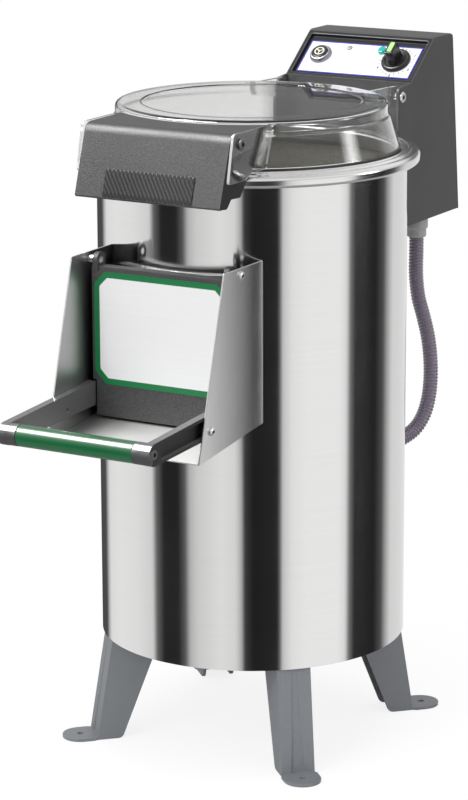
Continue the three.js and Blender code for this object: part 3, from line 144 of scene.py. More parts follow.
class PeelerStage(bpy.types.PropertyGroup):
    """Floor, lamps and camera"""

    floor_radius: bpy.props.FloatProperty(
        name="Floor", description="Radius of the floor", unit="LENGTH", min=0.5, default=1.6)
    key_power: bpy.props.FloatProperty(
        name="Key lamp", description="Power of the front lamp", unit="POWER", min=0, default=44)
    top_power: bpy.props.FloatProperty(
        name="Top lamp", description="Power of the lamp above", unit="POWER", min=0, default=13)
    highlight_power: bpy.props.FloatProperty(
        name="Highlight lamp", description="Power of the lamp seen in the hood's fold", unit="POWER", min=0,
        default=300)
    room_light: bpy.props.FloatProperty(
        name="Room light", description="Even light from all sides", min=0, default=0.75)


# Meshes


def metres(points):
    """Millimetres from the drum's axis to metres in the frame."""
    return (np.asarray(points, float) + (0, AXIS_Y, 0)) * MM


def floor_top(y):
    """Height of the chute floor's upper side at y."""
    return CHUTE_FRONT_HEIGHT + (y - CHUTE_FRONT_Y) * CHUTE_SLOPE


def woven(points, wrap_rows=True, wrap_columns=True):
    """Points and quads of a grid [rows, columns, 3]; a wrapped side joins its two ends."""
    rows, columns = points.shape[:2]
    index = np.arange(rows * columns).reshape(rows, columns)
    if wrap_rows:
        index = np.vstack([index, index[:1]])
    if wrap_columns:
        index = np.hstack([index, index[:, :1]])
    corners = (index[:-1, :-1], index[:-1, 1:], index[1:, 1:], index[1:, :-1])
    return points.reshape(-1, 3), np.stack(corners, axis=-1).reshape(-1, 4).tolist()


def soft(corners, reach, steps=5, closed=True):
    """A line whose corners become quadratic curves that start and end `reach` from the corner."""
    corner = np.array(corners, float)
    reach = np.broadcast_to(np.array(reach, float), len(corner)).copy()
    before, after = np.roll(corner, 1, axis=0) - corner, np.roll(corner, -1, axis=0) - corner
    if not closed:
        reach[[0, -1]] = 0
    before_length, after_length = np.linalg.norm(before, axis=1), np.linalg.norm(after, axis=1)
    reach = np.minimum(reach, 0.48 * np.minimum(before_length, after_length))
    start = corner + before * (reach / before_length)[:, None]
    end = corner + after * (reach / after_length)[:, None]
    t = np.linspace(0, 1, steps + 1)[None, :, None]
    curve = (1 - t) ** 2 * start[:, None] + 2 * t * (1 - t) * corner[:, None] + t**2 * end[:, None]
    line = curve.reshape(-1, 2)
    keep = np.linalg.norm(line - np.roll(line, 1, axis=0), axis=1) > 1e-6
    return line[keep]


def thickened(line, wall):
    """An open line closed by its own offset, `wall` away on its right-hand side."""
    line = np.asarray(line, float)
    run = np.diff(line, axis=0)
    normal = np.stack([run[:, 1], -run[:, 0]], axis=1) / np.linalg.norm(run, axis=1)[:, None]
    mean = np.vstack([normal[:1], (normal[:-1] + normal[1:]) / 2, normal[-1:]])
    inner = line + mean * (wall / (mean**2).sum(axis=1))[:, None]
    return np.vstack([line, inner[::-1]])


def solid(points, faces):
    """A closed mesh object from points in millimetres, doubles merged and faces turned outwards."""
    mesh = bpy.data.meshes.new("solid")
    mesh.from_pydata(metres(points).tolist(), [], faces)
    shape = bmesh.new()
    shape.from_mesh(mesh)
    bmesh.ops.remove_doubles(shape, verts=shape.verts, dist=2e-6)
    bmesh.ops.dissolve_degenerate(shape, dist=1e-6, edges=shape.edges)
    bmesh.ops.recalc_face_normals(shape, faces=shape.faces)
    shape.to_mesh(mesh)
    shape.free()
    body = bpy.data.objects.new("solid", mesh)
    bpy.context.scene.collection.objects.link(body)
    return body


# Turns from +Z to a piece's own axis
UPRIGHT = np.eye(3)
ALONG_X = np.array(Matrix.Rotation(math.radians(90), 3, "Y"))
ALONG_LEFT = np.array(Matrix.Rotation(math.radians(-90), 3, "Y"))
ON_PANEL = np.array(Matrix.Rotation(PANEL_TILT, 3, "X"))
PANEL_ORIGIN = np.array([0, *PANEL_FOOT])


def sideways(side):
    """The turn to the right for side 1, and to the left for side -1."""
    return ALONG_X if side > 0 else ALONG_LEFT


def outward(turn):
    """Turns +Z to the level direction `turn` degrees from +Y towards +X."""
    return np.array(
        Matrix.Rotation(math.radians(-turn), 3, "Z") @ Matrix.Rotation(math.radians(-90), 3, "X"))


def panel_point(x, up, out=0):
    """A place on the sloped panel, from x across, the way up it and out of it."""
    return PANEL_ORIGIN + ON_PANEL @ np.array([x, up, out])


def turned(profile, origin=(0, 0, 0), axis=UPRIGHT, steps=160, hexed=()):
    """A turned body: (radius, height) pairs carried round the axis. The rows named in hexed become hexagons:
    their radius is divided by the cosine of the angle to the nearest flat's middle."""
    profile = np.asarray(profile, float)
    angle = np.linspace(0, 2 * math.pi, steps, endpoint=False)
    radius = np.repeat(profile[:, :1], steps, axis=1)
    for row in hexed:
        radius[row] = radius[row] / np.cos((angle + math.pi / 6) % (math.pi / 3) - math.pi / 6)
    height = np.repeat(profile[:, 1:2], steps, axis=1)
    points = np.stack([radius * np.cos(angle), radius * np.sin(angle), height], axis=-1)
    on_axis = profile[0, 0] == 0 and profile[-1, 0] == 0
    return solid(*woven(points @ np.asarray(axis).T + np.asarray(origin, float), wrap_rows=not on_axis))


def tube_of(inner, outer, low, high, reach, **place):
    """A ring with a rectangular section whose corners are softened by reach."""
    return turned(soft([(inner, low), (outer, low), (outer, high), (inner, high)], reach), **place)


def rod_of(radius, low, high, **place):
    """A plain round bar."""
    return turned([(0, low), (radius, low), (radius, high), (0, high)], **place)


def side_bar(radius, low, high, centre, steps=32):
    """A bar across X at centre (y, z), mostly to cut a screw's hole with."""
    return rod_of(radius, low, high, origin=(0, *centre), axis=ALONG_X, steps=steps)


def wall_bar(radius, height, turn, inside=12, outside=8):
    """A bar through the drum's wall, to cut a hole with, that reaches some way inside and outside."""
    place = {"origin": (0, 0, height), "axis": outward(turn)}
    return rod_of(radius, DRUM_RADIUS - inside, DRUM_RADIUS + outside, steps=32, **place)


def panel_bar(radius, spot, behind=14):
    """A bar through the panel at (across, up), to cut a hole with, that starts some way behind it."""
    return rod_of(radius, -behind, 6, origin=panel_point(*spot), axis=ON_PANEL, steps=32)


def prism(outline, low, high, across="X"):
    """An outline carried along one axis from low to high. Across X the outline is (y, z), across Y it is
    (x, z), across Z (x, y), and across P it is (across, up) on the sloped panel, carried out of it."""
    outline = np.asarray(outline, float)
    first, second = outline.T
    order = {"X": lambda d: (d, first, second), "Y": lambda d: (first, d, second)}
    build = order.get(across, lambda d: (first, second, d))
    ends = [np.stack(build(np.full(len(outline), value, float)), axis=1) for value in (low, high)]
    points = np.vstack(ends)
    if across == "P":
        points = points @ ON_PANEL.T + PANEL_ORIGIN
    count = len(outline)
    index = np.arange(count)
    sides = np.stack([index, (index + 1) % count, (index + 1) % count + count, index + count], axis=1)
    return solid(points, sides.tolist() + [index[::-1].tolist(), (index + count).tolist()])


def oblong(half, low, high, centre=(0, 0)):
    """Corners of an upright rectangle, half its width to either side of the centre."""
    x, y = centre
    return [(x - half, y + low), (x + half, y + low), (x + half, y + high), (x - half, y + high)]


def spoke(centre, degrees, near, far, half):
    """Corners of a bar that points away from a centre, from near to far, half its width to either side."""
    angle = math.radians(degrees)
    along = np.array([math.cos(angle), math.sin(angle)])
    side = np.array([-math.sin(angle), math.cos(angle)])
    corners = ((near, -half), (far, -half), (far, half), (near, half))
    return [np.array(centre) + along * out + side * aside for out, aside in corners]


def slab(low, high):
    """A rectangular block between two corners."""
    (x0, y0, z0), (x1, y1, z1) = low, high
    return prism([(x0, y0), (x1, y0), (x1, y1), (x0, y1)], z0, z1, "Z")


def settle(body):
    """Applies the modifiers of a body to its mesh."""
    graph = bpy.context.evaluated_depsgraph_get()
    mesh = bpy.data.meshes.new_from_object(body.evaluated_get(graph))
    body.modifiers.clear()
    body.data = mesh
    return body


def combined(body, others, operation):
    """The body joined with or cut by the other bodies, which are used up."""
    for other in others:
        modifier = body.modifiers.new("combine", "BOOLEAN")
        modifier.operation, modifier.solver, modifier.object = operation, "MANIFOLD", other
        settle(body)
        bpy.data.objects.remove(other)
    return body


def joined(first, *others):
    return combined(first, others, "UNION")


def cut(body, *others):
    return combined(body, others, "DIFFERENCE")


def bevelled(body, width, segments=3, angle=35):
    """Rounds the edges sharper than the angle, and applies it."""
    modifier = body.modifiers.new("edge", "BEVEL")
    modifier.width, modifier.segments = width, segments
    modifier.limit_method, modifier.angle_limit = "ANGLE", math.radians(angle)
    modifier.harden_normals = False
    return settle(body)


def mirrored(body):
    """A left-hand copy of a right-hand body."""
    copy = body.copy()
    copy.data = body.data.copy()
    copy.data.transform(Matrix.Scale(-1, 4, (1, 0, 0)))
    copy.data.flip_normals()
    bpy.context.scene.collection.objects.link(copy)
    return copy


def copied(node):
    """A copy of a CAD node's mesh with its loose triangles merged and flat faces joined."""
    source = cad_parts[node]
    mesh = source.data.copy()
    mesh.transform(source.matrix_world)
    shape = bmesh.new()
    shape.from_mesh(mesh)
    bmesh.ops.remove_doubles(shape, verts=shape.verts, dist=5e-6)
    bmesh.ops.dissolve_limit(
        shape, angle_limit=math.radians(0.3), verts=shape.verts, edges=shape.edges)
    shape.to_mesh(mesh)
    shape.free()
    mesh.materials.clear()
    if "custom_normal" in mesh.attributes:
        mesh.attributes.remove(mesh.attributes["custom_normal"])
    body = bpy.data.objects.new("copy", mesh)
    bpy.context.scene.collection.objects.link(body)
    return body


def piece(body, name, material, ride, nodes=(), angle=32):
    """Names a finished body, gives it its material and shading, and ties it to the frame."""
    body.name = body.data.name = name
    body.data.materials.clear()
    body.data.materials.append(material)
    body.data.shade_smooth()
    body.data.set_sharp_from_angle(angle=math.radians(angle))
    modifier = body.modifiers.new("normals", "WEIGHTED_NORMAL")
    modifier.keep_sharp, modifier.weight = True, 100
    settle(body)
    body.data.name = name
    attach(body, ride)
    if nodes:
        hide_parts(*nodes)
    return body


def face_rows(mesh, field):
    """One vector per face: its middle or its normal."""
    values = np.zeros(3 * len(mesh.polygons))
    mesh.polygons.foreach_get(field, values)
    return values.reshape(-1, 3)


def more_finishes(body, numbers, *materials):
    """Adds materials to a body and gives each face the one with its number, 0 for the body's own."""
    for material in materials:
        body.data.materials.append(material)
    body.data.polygons.foreach_set("material_index", numbers.astype(np.int32))


# The heads of all the screws across X lie further out than this
HEADS_FROM = 94


def side_screw(body, name, finish, ride, node, centre, recess):
    """Finishes a screw across X at centre (y, z), with the faces of its recess given black as painted shade.
    """
    screw = piece(body, name, FINISH[finish], ride, [node])
    away = face_rows(screw.data, "center") / MM - (0, AXIS_Y + centre[0], centre[1])
    # The socket's faces take black: painted shade in the recess
    near = (np.hypot(away[:, 1], away[:, 2]) < recess) & (np.abs(away[:, 0]) > HEADS_FROM)
    more_finishes(screw, near, FINISH["black"])


def dressed(nodes, material):
    """Gives CAD nodes that keep their mesh a finished material."""
    for node in nodes:
        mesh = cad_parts[node].data
        mesh.materials.clear()
        mesh.materials.append(material)


# Node groups shared by the materials


class Tree:
    """A short way to add and link nodes in one tree."""

    def __init__(self, tree):
        self.tree = tree

    def link(self, value, node, socket):
        self.tree.links.new(value, node.inputs[socket])

    def node(self, kind, inputs=None, **settings):
        """A new node with its settings, and its sockets linked or given a constant."""
        node = self.tree.nodes.new(kind)
        for name, value in settings.items():
            setattr(node, name, value)
        for socket, value in (inputs or {}).items():
            if isinstance(value, bpy.types.NodeSocket):
                self.link(value, node, socket)
            else:
                node.inputs[socket].default_value = value
        return node

    def math(self, operation, first, second=0.0):
        return self.node("ShaderNodeMath", {0: first, 1: second}, operation=operation).outputs[0]

    def vector(self, operation, first, second):
        return self.node("ShaderNodeVectorMath", {0: first, 1: second}, operation=operation).outputs[0]

    def blend(self, share, first, second):
        """First colour where the share is 0, second where it is 1."""
        node = self.node("ShaderNodeMix", {0: share, 6: first, 7: second}, data_type="RGBA")
        return node.outputs[2]

    def ranged(self, value, low, high, to_low=0.0, to_high=1.0):
        """Carries low..high to to_low..to_high, held at the ends."""
        sockets = {0: value, 1: low, 2: high, 3: to_low, 4: to_high}
        return self.node("ShaderNodeMapRange", sockets).outputs[0]

    def noise(self, vector, scale, detail=2.0, roughness=0.5):
        return self.node(
            "ShaderNodeTexNoise",
            {"Vector": vector, "Scale": scale, "Detail": detail, "Roughness": roughness}).outputs["Fac"]


SOCKETS = {"value": "NodeSocketFloat", "vector": "NodeSocketVector"}
# Most of a noise's values lie in this span
NOISE_SPAN = (0.3, 0.7)


def group(name, inputs, outputs):
    """An empty node group with named sockets, as (group, tree, input sockets, output node)."""
    made = bpy.data.node_groups.new(name, "ShaderNodeTree")
    for label, kind, value in inputs:
        socket = made.interface.new_socket(label, in_out="INPUT", socket_type=SOCKETS[kind])
        if value is not None:
            socket.default_value = value
    for label, kind in outputs:
        made.interface.new_socket(label, in_out="OUTPUT", socket_type=SOCKETS[kind])
    tree = Tree(made)
    entry, end = tree.node("NodeGroupInput"), tree.node("NodeGroupOutput")
    return made, tree, entry.outputs, end


def brushed_group():
    """Brushed lines: noise stretched along the brushing, fine and coarse, with a slow smudge over them."""
    made, tree, given, end = group(
        "Brushed lines",
        [("Vector", "vector", None), ("Stretch", "vector", (1, 1, 1))],
        [("Lines", "value"), ("Smudge", "value")])
    along = tree.vector("MULTIPLY", given["Vector"], given["Stretch"])
    fine = tree.noise(along, 1.0, 3.0, 0.6)
    coarse = tree.noise(tree.vector("MULTIPLY", along, (0.31, 0.31, 0.31)), 1.0, 2.0, 0.5)
    lines = tree.math("ADD", tree.math("MULTIPLY", fine, 0.6), tree.math("MULTIPLY", coarse, 0.4))
    tree.link(lines, end, "Lines")
    tree.link(tree.noise(given["Vector"], 7.0, 3.0, 0.55), end, "Smudge")
    return made


def grain_group():
    """Moulded or powder grain: fine cells for relief, finer specks for colour, and a slow drift."""
    made, tree, given, end = group(
        "Fine grain",
        [("Vector", "vector", None), ("Grains per metre", "value", 1400.0)],
        [("Relief", "value"), ("Specks", "value"), ("Drift", "value")])
    relief = tree.noise(given["Vector"], given["Grains per metre"], 2.0, 0.6)
    scale = tree.math("MULTIPLY", given["Grains per metre"], 0.8)
    specks = tree.ranged(tree.noise(given["Vector"], scale, 1.0, 0.4), 0.35, 0.65)
    tree.link(relief, end, "Relief")
    tree.link(specks, end, "Specks")
    tree.link(tree.noise(given["Vector"], 9.0, 2.0, 0.5), end, "Drift")
    return made


def border_group():
    """Mask of a border inside a rectangle with cut corners: the least of the distances to the two sides
    and to the cut, compared with the border's width. 1 is border and 0 is inside it."""
    made, tree, given, end = group(
        "Cut-corner border",
        [("Vector", "vector", None), ("Half width", "value", 0.1), ("Half height", "value", 0.1),
         ("Cut", "value", 0.0), ("Border", "value", 0.008)],
        [("Mask", "value")])
    parts = tree.node("ShaderNodeSeparateXYZ", {0: given["Vector"]})
    across = tree.math("ABSOLUTE", parts.outputs[0])
    up = tree.math("ABSOLUTE", parts.outputs[1])
    side = tree.math("SUBTRACT", given["Half width"], across)
    top = tree.math("SUBTRACT", given["Half height"], up)
    reach = tree.math("SUBTRACT", tree.math("ADD", side, top), given["Cut"])
    corner = tree.math("MULTIPLY", reach, math.sqrt(0.5))
    nearest = tree.math("MINIMUM", tree.math("MINIMUM", side, top), corner)
    tree.link(tree.math("LESS_THAN", nearest, given["Border"]), end, "Mask")
    return made


# Materials


def shader(name, **sockets):
    """A new material's tree with its Principled shader, constants set on the shader's own sockets."""
    material = bpy.data.materials.new(name)
    material.use_nodes = True
    tree = Tree(material.node_tree)
    bsdf = material.node_tree.nodes["Principled BSDF"]
    for label, value in sockets.items():
        bsdf.inputs[label.replace("_", " ")].default_value = value
    return material, tree, bsdf


def placed(tree):
    """Object coordinates, in metres in the frame."""
    return tree.node("ShaderNodeTexCoord").outputs["Object"]


def bump(tree, bsdf, height, distance):
    """Relief from a height, in metres at height 1."""
    node = tree.node("ShaderNodeBump", {"Height": height, "Distance": distance, "Strength": 1.0})
    tree.link(node.outputs[0], bsdf, "Normal")


def two_shades(colour, share):
    """A colour made darker and lighter by a share, each with its alpha."""
    return [tuple(channel * level for channel in colour) + (1,) for level in (1 - share, 1 + share)]


def grouped(tree, made, **inputs):
    """Places a node group and gives its outputs."""
    sockets = {label.replace("_", " "): value for label, value in inputs.items()}
    return tree.node("ShaderNodeGroup", sockets, node_tree=made).outputs


def bowed(tree, colour, bow, rear):
    """A cheek's colour, darkened to the rear share behind the door as painted shade, and its relief: bow
    times the square of the distance from the sheet's middle, in metres."""
    along = tree.node("ShaderNodeSeparateXYZ", {0: placed(tree)}).outputs[1]
    # Painted shade: the colour falls from full to the rear share between these two places behind the door
    behind = tree.ranged(along, (AXIS_Y + SHADE_START) * MM, (AXIS_Y + SHADE_END) * MM, 1.0, rear)
    faded = tree.node(
        "ShaderNodeMix", {0: 1.0, 6: colour, 7: behind}, data_type="RGBA", blend_type="MULTIPLY").outputs[2]
    away = tree.math("SUBTRACT", along, (AXIS_Y + CHEEK_MIDDLE) * MM)
    return faded, tree.math("MULTIPLY", tree.math("MULTIPLY", away, away), bow)


def steel_finish(name, colour, stretch, rough, spread, lines_made, relief=1e-6, shades=0.03, anisotropic=0.0,
                 bow=0.0, rear=1.0):
    """Stainless steel whose colour, roughness and relief follow the brushed lines and the smudges. With
    anisotropy the reflections are drawn out up the wall, across lines that run round the machine's axis.
    With a bow the sheet's own curve takes the place of the lines' relief, and a rear share below 1 darkens
    the colour behind the door as painted shade."""
    material, tree, bsdf = shader(name, Metallic=1.0, Anisotropic=anisotropic)
    marks = grouped(tree, lines_made, Vector=placed(tree), Stretch=stretch)
    shade = tree.ranged(marks["Lines"], *NOISE_SPAN)
    shown, height = tree.blend(shade, *two_shades(colour, shades)), marks["Lines"]
    if bow:
        shown, height = bowed(tree, shown, bow, rear)
    tree.link(shown, bsdf, "Base Color")
    base = tree.ranged(marks["Lines"], *NOISE_SPAN, rough - spread, rough + spread)
    smudge = tree.ranged(marks["Smudge"], 0.35, 0.7, -spread, spread)
    tree.link(tree.math("ADD", base, smudge), bsdf, "Roughness")
    bump(tree, bsdf, height, relief)
    if anisotropic:
        tangent = tree.node("ShaderNodeTangent", direction_type="RADIAL", axis="Z")
        tree.link(tangent.outputs[0], bsdf, "Tangent")
        bsdf.inputs["Anisotropic Rotation"].default_value = 0.25
    return material


def grained_finish(name, colour, grains, rough, relief, specks, sockets, grain_made):
    """Moulded or painted surface with grain in relief, specks in colour and slow drift in roughness."""
    material, tree, bsdf = shader(name, Coat_Roughness=0.12, **sockets)
    grain = grouped(tree, grain_made, Vector=placed(tree), Grains_per_metre=grains)
    tree.link(tree.blend(grain["Specks"], *two_shades(colour, specks)), bsdf, "Base Color")
    drift = 0.06
    tree.link(tree.ranged(grain["Drift"], *NOISE_SPAN, rough - drift, rough + drift), bsdf, "Roughness")
    bump(tree, bsdf, grain["Relief"], relief)
    return material


def clear_finish():
    """Clear polycarbonate: faint scuffs in its roughness, and lamps pass through it."""
    material, tree, bsdf = shader(
        "clear polycarbonate", Base_Color=(0.965, 0.968, 0.96, 1), Transmission_Weight=1.0, IOR=1.49,
        Specular_IOR_Level=0.5)
    scuffs = tree.noise(placed(tree), 60.0, 4.0, 0.6)
    tree.link(tree.ranged(scuffs, 0.45, 0.75, 0.015, 0.05), bsdf, "Roughness")
    passing = tree.node("ShaderNodeBsdfTransparent", {"Color": (0.9, 0.9, 0.9, 1)})
    shadow = tree.node("ShaderNodeLightPath").outputs["Is Shadow Ray"]
    mixed = tree.node("ShaderNodeMixShader", {0: shadow, 1: bsdf.outputs[0], 2: passing.outputs[0]})
    tree.link(mixed.outputs[0], material.node_tree.nodes["Material Output"], "Surface")
    return material


def bordered_finish(name, centre, tilt, sizes, border, inside, border_made, lines_made, rough):
    """A printed sheet: a border colour round a pale field, faint brushed lines, and satin gloss. Its sizes
    are half its width and height, its cut corners and its border. A Mapping node centres the pattern on the
    sheet and turns it into its plane."""
    material, tree, bsdf = shader(name, Coat_Weight=0.15, Coat_Roughness=0.3)
    turn = tree.node(
        "ShaderNodeMapping",
        {"Vector": placed(tree), "Location": tuple(metres(centre)), "Rotation": (tilt, 0, 0)},
        vector_type="TEXTURE").outputs[0]
    half_width, half_height, chamfer, width = [value * MM for value in sizes]
    mask = grouped(
        tree, border_made, Vector=turn, Half_width=half_width, Half_height=half_height, Cut=chamfer,
        Border=width)["Mask"]
    marks = grouped(tree, lines_made, Vector=turn, Stretch=(12.0, 900.0, 12.0))
    shade = tree.ranged(marks["Lines"], *NOISE_SPAN)
    field, edge = [tree.blend(shade, two_shades(colour, fade)[0], (*colour, 1))
                   for colour, fade in ((inside, 0.05), (border, 0.1))]
    tree.link(tree.blend(mask, field, edge), bsdf, "Base Color")
    spread = 0.05
    tree.link(tree.ranged(marks["Smudge"], *NOISE_SPAN, rough - spread, rough + spread), bsdf, "Roughness")
    return material


# Grained finishes: the material's name, its colour or the setting that holds it, grains per metre, roughness,
# depth of relief in metres, share by which the specks differ, and sockets that aren't at the shader's default
COAT, SHINE, METAL = "Coat_Weight", "Specular_IOR_Level", {"Metallic": 1.0}
GRAINED = {
    "hood": ("textured hood", "hood_colour", 1000.0, 0.42, 3.2e-4, 0.6, {}),
    # A darker copy of the hood's plastic for its side faces: painted shade
    "hood_side": ("smooth hood side", tint(32, 32, 33), 1300.0, 0.42, 4e-5, 0.1, {SHINE: 0.3}),
    "door": ("textured door", "door_colour", 1300.0, 0.5, 1.6e-4, 0.4, {SHINE: 0.4}),
    "pad": ("ribbed pad", tint(38, 38, 39), 1500.0, 0.36, 1e-5, 0.1, {SHINE: 0.3}),
    "box": ("box paint", "box_colour", 1900.0, 0.5, 5e-5, 0.06, {}),
    # A darker copy of the box paint: painted shade on the slope and in the recess
    "box_slope": ("shaded box paint", tint(30, 29, 32), 1900.0, 0.5, 5e-5, 0.06, {SHINE: 0.15}),
    "lever": ("lever paint", tint(90, 90, 91), 1300.0, 0.34, 2e-5, 0.06, {COAT: 0.2}),
    # A darker copy of the lever paint for the faces in the channel: painted shade
    "lever_side": ("channel paint", tint(24, 24, 25), 1300.0, 0.5, 2e-5, 0.06, {}),
    "hub": ("hub metal", (0.17, 0.17, 0.175), 1500.0, 0.42, 2e-5, 0.2, METAL),
    "legs": ("leg paint", "leg_colour", 700.0, 0.36, 5e-5, 0.04, {}),
    "grip": ("green grip", "grip_colour", 800.0, 0.34, 8e-6, 0.05, {COAT: 0.35}),
    "conduit": ("conduit plastic", "conduit_colour", 900.0, 0.24, 1e-5, 0.08, {COAT: 0.8}),
    "pale": ("pale plastic", tint(150, 150, 150), 900.0, 0.42, 2e-5, 0.05, {}),
    # Black plastic parts; the screws' sockets also take it as painted shade
    "black": ("black plastic", tint(24, 24, 25), 1200.0, 0.3, 1.5e-5, 0.1, {}),
    "rubber": ("rubber", tint(34, 34, 34), 1500.0, 0.7, 5e-5, 0.15, {}),
    "teal": ("teal plastic", tint(0, 168, 155), 900.0, 0.25, 1e-5, 0.05, {COAT: 0.5}),
    "pointer": ("pointer inlay", tint(172, 232, 130), 900.0, 0.4, 1e-5, 0.03, {}),
    "cream": ("cream print", tint(228, 224, 205), 900.0, 0.45, 1e-5, 0.03, {}),
    "ink": ("dial print", tint(40, 42, 60), 900.0, 0.5, 1e-5, 0.03, {}),
    "cast": ("cast aluminium", (0.5, 0.5, 0.5), 700.0, 0.42, 8e-5, 0.1, METAL),
    "bezel": ("satin bezel", (0.3, 0.29, 0.33), 1500.0, 0.42, 1e-5, 0.04, METAL),
    "grit": ("bonded grit", tint(60, 57, 46), 520.0, 0.85, 1.2e-3, 0.5, {}),
    "motor": ("motor paint", tint(48, 52, 58), 500.0, 0.45, 6e-5, 0.08, {}),
    # A whitish, half-opaque copy of the clear plastic for the ears' edges: painted sheen
    "clear_edge": ("polished clear edge", (0.82, 0.83, 0.82), 900.0, 0.2, 5e-6, 0.03,
                   {"Transmission_Weight": 0.45}),
}
# The cheeks' middle, and where their painted shade starts and stops deepening, as y
CHEEK_MIDDLE, SHADE_START, SHADE_END = -260, -232, -220
# The finished materials by their short names, filled by the operator below
FINISH = {}


class PEELER_OT_finishes(bpy.types.Operator):
    """Makes every material of the machine"""

    bl_idname = "peeler.finishes"
    bl_label = "Finishes"

    def execute(self, context):
        settings = context.scene.peeler_finish
        lines, grain, border = brushed_group(), grain_group(), border_group()
        steel, pitch = tuple(settings.steel_colour), 1 / settings.brush_pitch
        upright, even = (pitch, pitch, 5), (300, 300, 300)
        for key, (name, colour, *grains) in GRAINED.items():
            colour = tuple(getattr(settings, colour)) if isinstance(colour, str) else colour
            FINISH[key] = grained_finish(name, colour, *grains, grain)
        FINISH.update({
            "drum": steel_finish(
                "brushed drum steel", steel, (5, 5, pitch), 0.105, 0.012, lines, 4e-7, 0.015, 0.8),
            "rim": steel_finish(
                "rolled rim steel", steel, (8, 8, pitch), 0.17, 0.03, lines, 8e-7, 0.03, 0.3),
            "cheek": steel_finish(
                "brushed cheek steel", (0.9, 0.9, 0.895), upright, 0.2, 0.03, lines, 1, 0.06, bow=0.38),
            # The cheeks' inner faces: a darker copy of the cheek steel, painted shade, darkest behind the
            # door
            "cheek_inside": steel_finish(
                "dulled cheek steel", (0.52, 0.52, 0.52), upright, 0.36, 0.03, lines, 1, 0.04,
                bow=-0.29, rear=0.15),
            "floor": steel_finish(
                "chute steel", (0.6, 0.6, 0.59), (pitch, 6, 6), 0.55, 0.03, lines, 5e-7, 0.02),
            "screw": steel_finish("turned steel", steel, even, 0.22, 0.04, lines),
            "zinc": steel_finish("dull zinc", (0.24, 0.24, 0.21), even, 0.34, 0.05, lines),
            "clear": clear_finish(),
            "label": bordered_finish(
                "door label", (0, LABEL_FRONT, LABEL_MIDDLE), math.radians(90),
                (LABEL_HALF, LABEL_RISE, LABEL_CUT, 7.7),
                tuple(settings.border_colour), tint(214, 214, 215), border, lines, 0.42),
            "panel": bordered_finish(
                "panel print", panel_point(0, (PLATE_LOW + PLATE_HIGH) / 2), PANEL_TILT,
                (PLATE_HALF, (PLATE_HIGH - PLATE_LOW) / 2, 0, 1.9),
                tuple(settings.line_colour), tint(246, 246, 248), border, lines, 0.4),
        })
        return {"FINISHED"}


# Drum


def drum_shell():
    """The shell's mid surface: angle round the axis against height in three bands. The middle band leaves
    out the discharge opening, whose lower edge follows the chute floor; then the wall gets its thickness."""
    half_angle = math.asin((NECK_HALF + GAP) / DRUM_RADIUS)
    opening = np.linspace(-half_angle, half_angle, 25)
    rest = np.linspace(half_angle, 2 * math.pi - half_angle, 217)[1:-1]
    angle = np.concatenate([opening, rest])
    low = floor_top(-DRUM_RADIUS * np.cos(np.minimum(np.abs(angle), half_angle))) - CHUTE_SHEET - GAP
    share = np.linspace(0, 1, 5)
    bands = [DRUM_BOTTOM + (low - DRUM_BOTTOM) * s for s in share]
    bands += [low + (NECK_TOP + GAP - low) * s for s in share[1:]]
    bands += [np.full_like(low, NECK_TOP + GAP) * (1 - s) + DRUM_TOP * s for s in share[1:]]
    height = np.array(bands)
    across, along = [np.broadcast_to(line, height.shape)
                     for line in (DRUM_RADIUS * np.sin(angle), -DRUM_RADIUS * np.cos(angle))]
    flat, faces = woven(np.stack([across, along, height], axis=-1), wrap_rows=False)
    grid = np.arange(len(faces)).reshape(len(bands) - 1, len(angle))
    open_cells = set(grid[4:8, :len(opening) - 1].ravel().tolist())
    body = solid(flat, [face[::-1] for number, face in enumerate(faces) if number not in open_cells])
    modifier = body.modifiers.new("wall", "SOLIDIFY")
    modifier.thickness, modifier.offset, modifier.use_even_offset = DRUM_WALL * MM, -1, True
    return cut(settle(body), wall_bar(*GLAND_HOLE), wall_bar(*INLET_HOLE))


def rim_ring():
    """The rolled rim: a shelf, two rolled grooves and an outer roll, carried round the axis."""
    inner, width, top, drop, sheet = 183, 33, 780.5, 18.5, 1.6
    shares = [(0.3, 0.13), (0.38, 0.02), (0.47, 0.14), (0.6, 0.05), (0.72, 0.2), (0.84, 0.2), (0.95, 0.3),
              (1, 0.46), (0.99, 0.85), (0.93, 1)]
    line = [(inner, 761.6), (inner, 776.4), (184.6, 778)]
    line += [(inner + width * across, top - drop * down) for across, down in shares]
    line += [(201.9, 759.6)]
    rounded = soft(line, [0, 1, 1, 2, 1.6, 1.8, 1.8, 2, 2, 2, 2, 2.4, 1.8, 0], 6, closed=False)
    return turned(thickened(rounded, sheet), steps=224)


class PEELER_OT_drum(bpy.types.Operator):
    """Makes the drum shell and its rolled rim"""

    bl_idname = "peeler.drum"
    bl_label = "Drum"

    def execute(self, context):
        piece(drum_shell(), "drum_wall", FINISH["drum"], "machine", ["drum_shell"])
        piece(rim_ring(), "rolled_rim", FINISH["rim"], "machine", ["rim_ring"], 40)
        return {"FINISHED"}


def grit_liner():
    """The liner: a ring cut by the discharge opening, whose lower edge follows the chute floor, and by the
    water inlet."""
    opening = slab((-NECK_HALF - GAP, NECK_FRONT, DECK_TOP), (NECK_HALF + GAP, NECK_BACK, NECK_TOP + GAP))
    front, back = floor_top(NECK_FRONT) - CHUTE_SHEET - GAP, floor_top(NECK_BACK) - CHUTE_SHEET - GAP
    under = [(NECK_FRONT, front), (NECK_BACK, back), (NECK_BACK, 400), (NECK_FRONT, 400)]
    opening = cut(opening, prism(under, -90, 90))
    ring = tube_of(LINER_INNER, LINER_OUTER, DECK_TOP + GAP, LINER_TOP, 1.0)
    return cut(ring, opening, wall_bar(*INLET_HOLE, 20, 15))


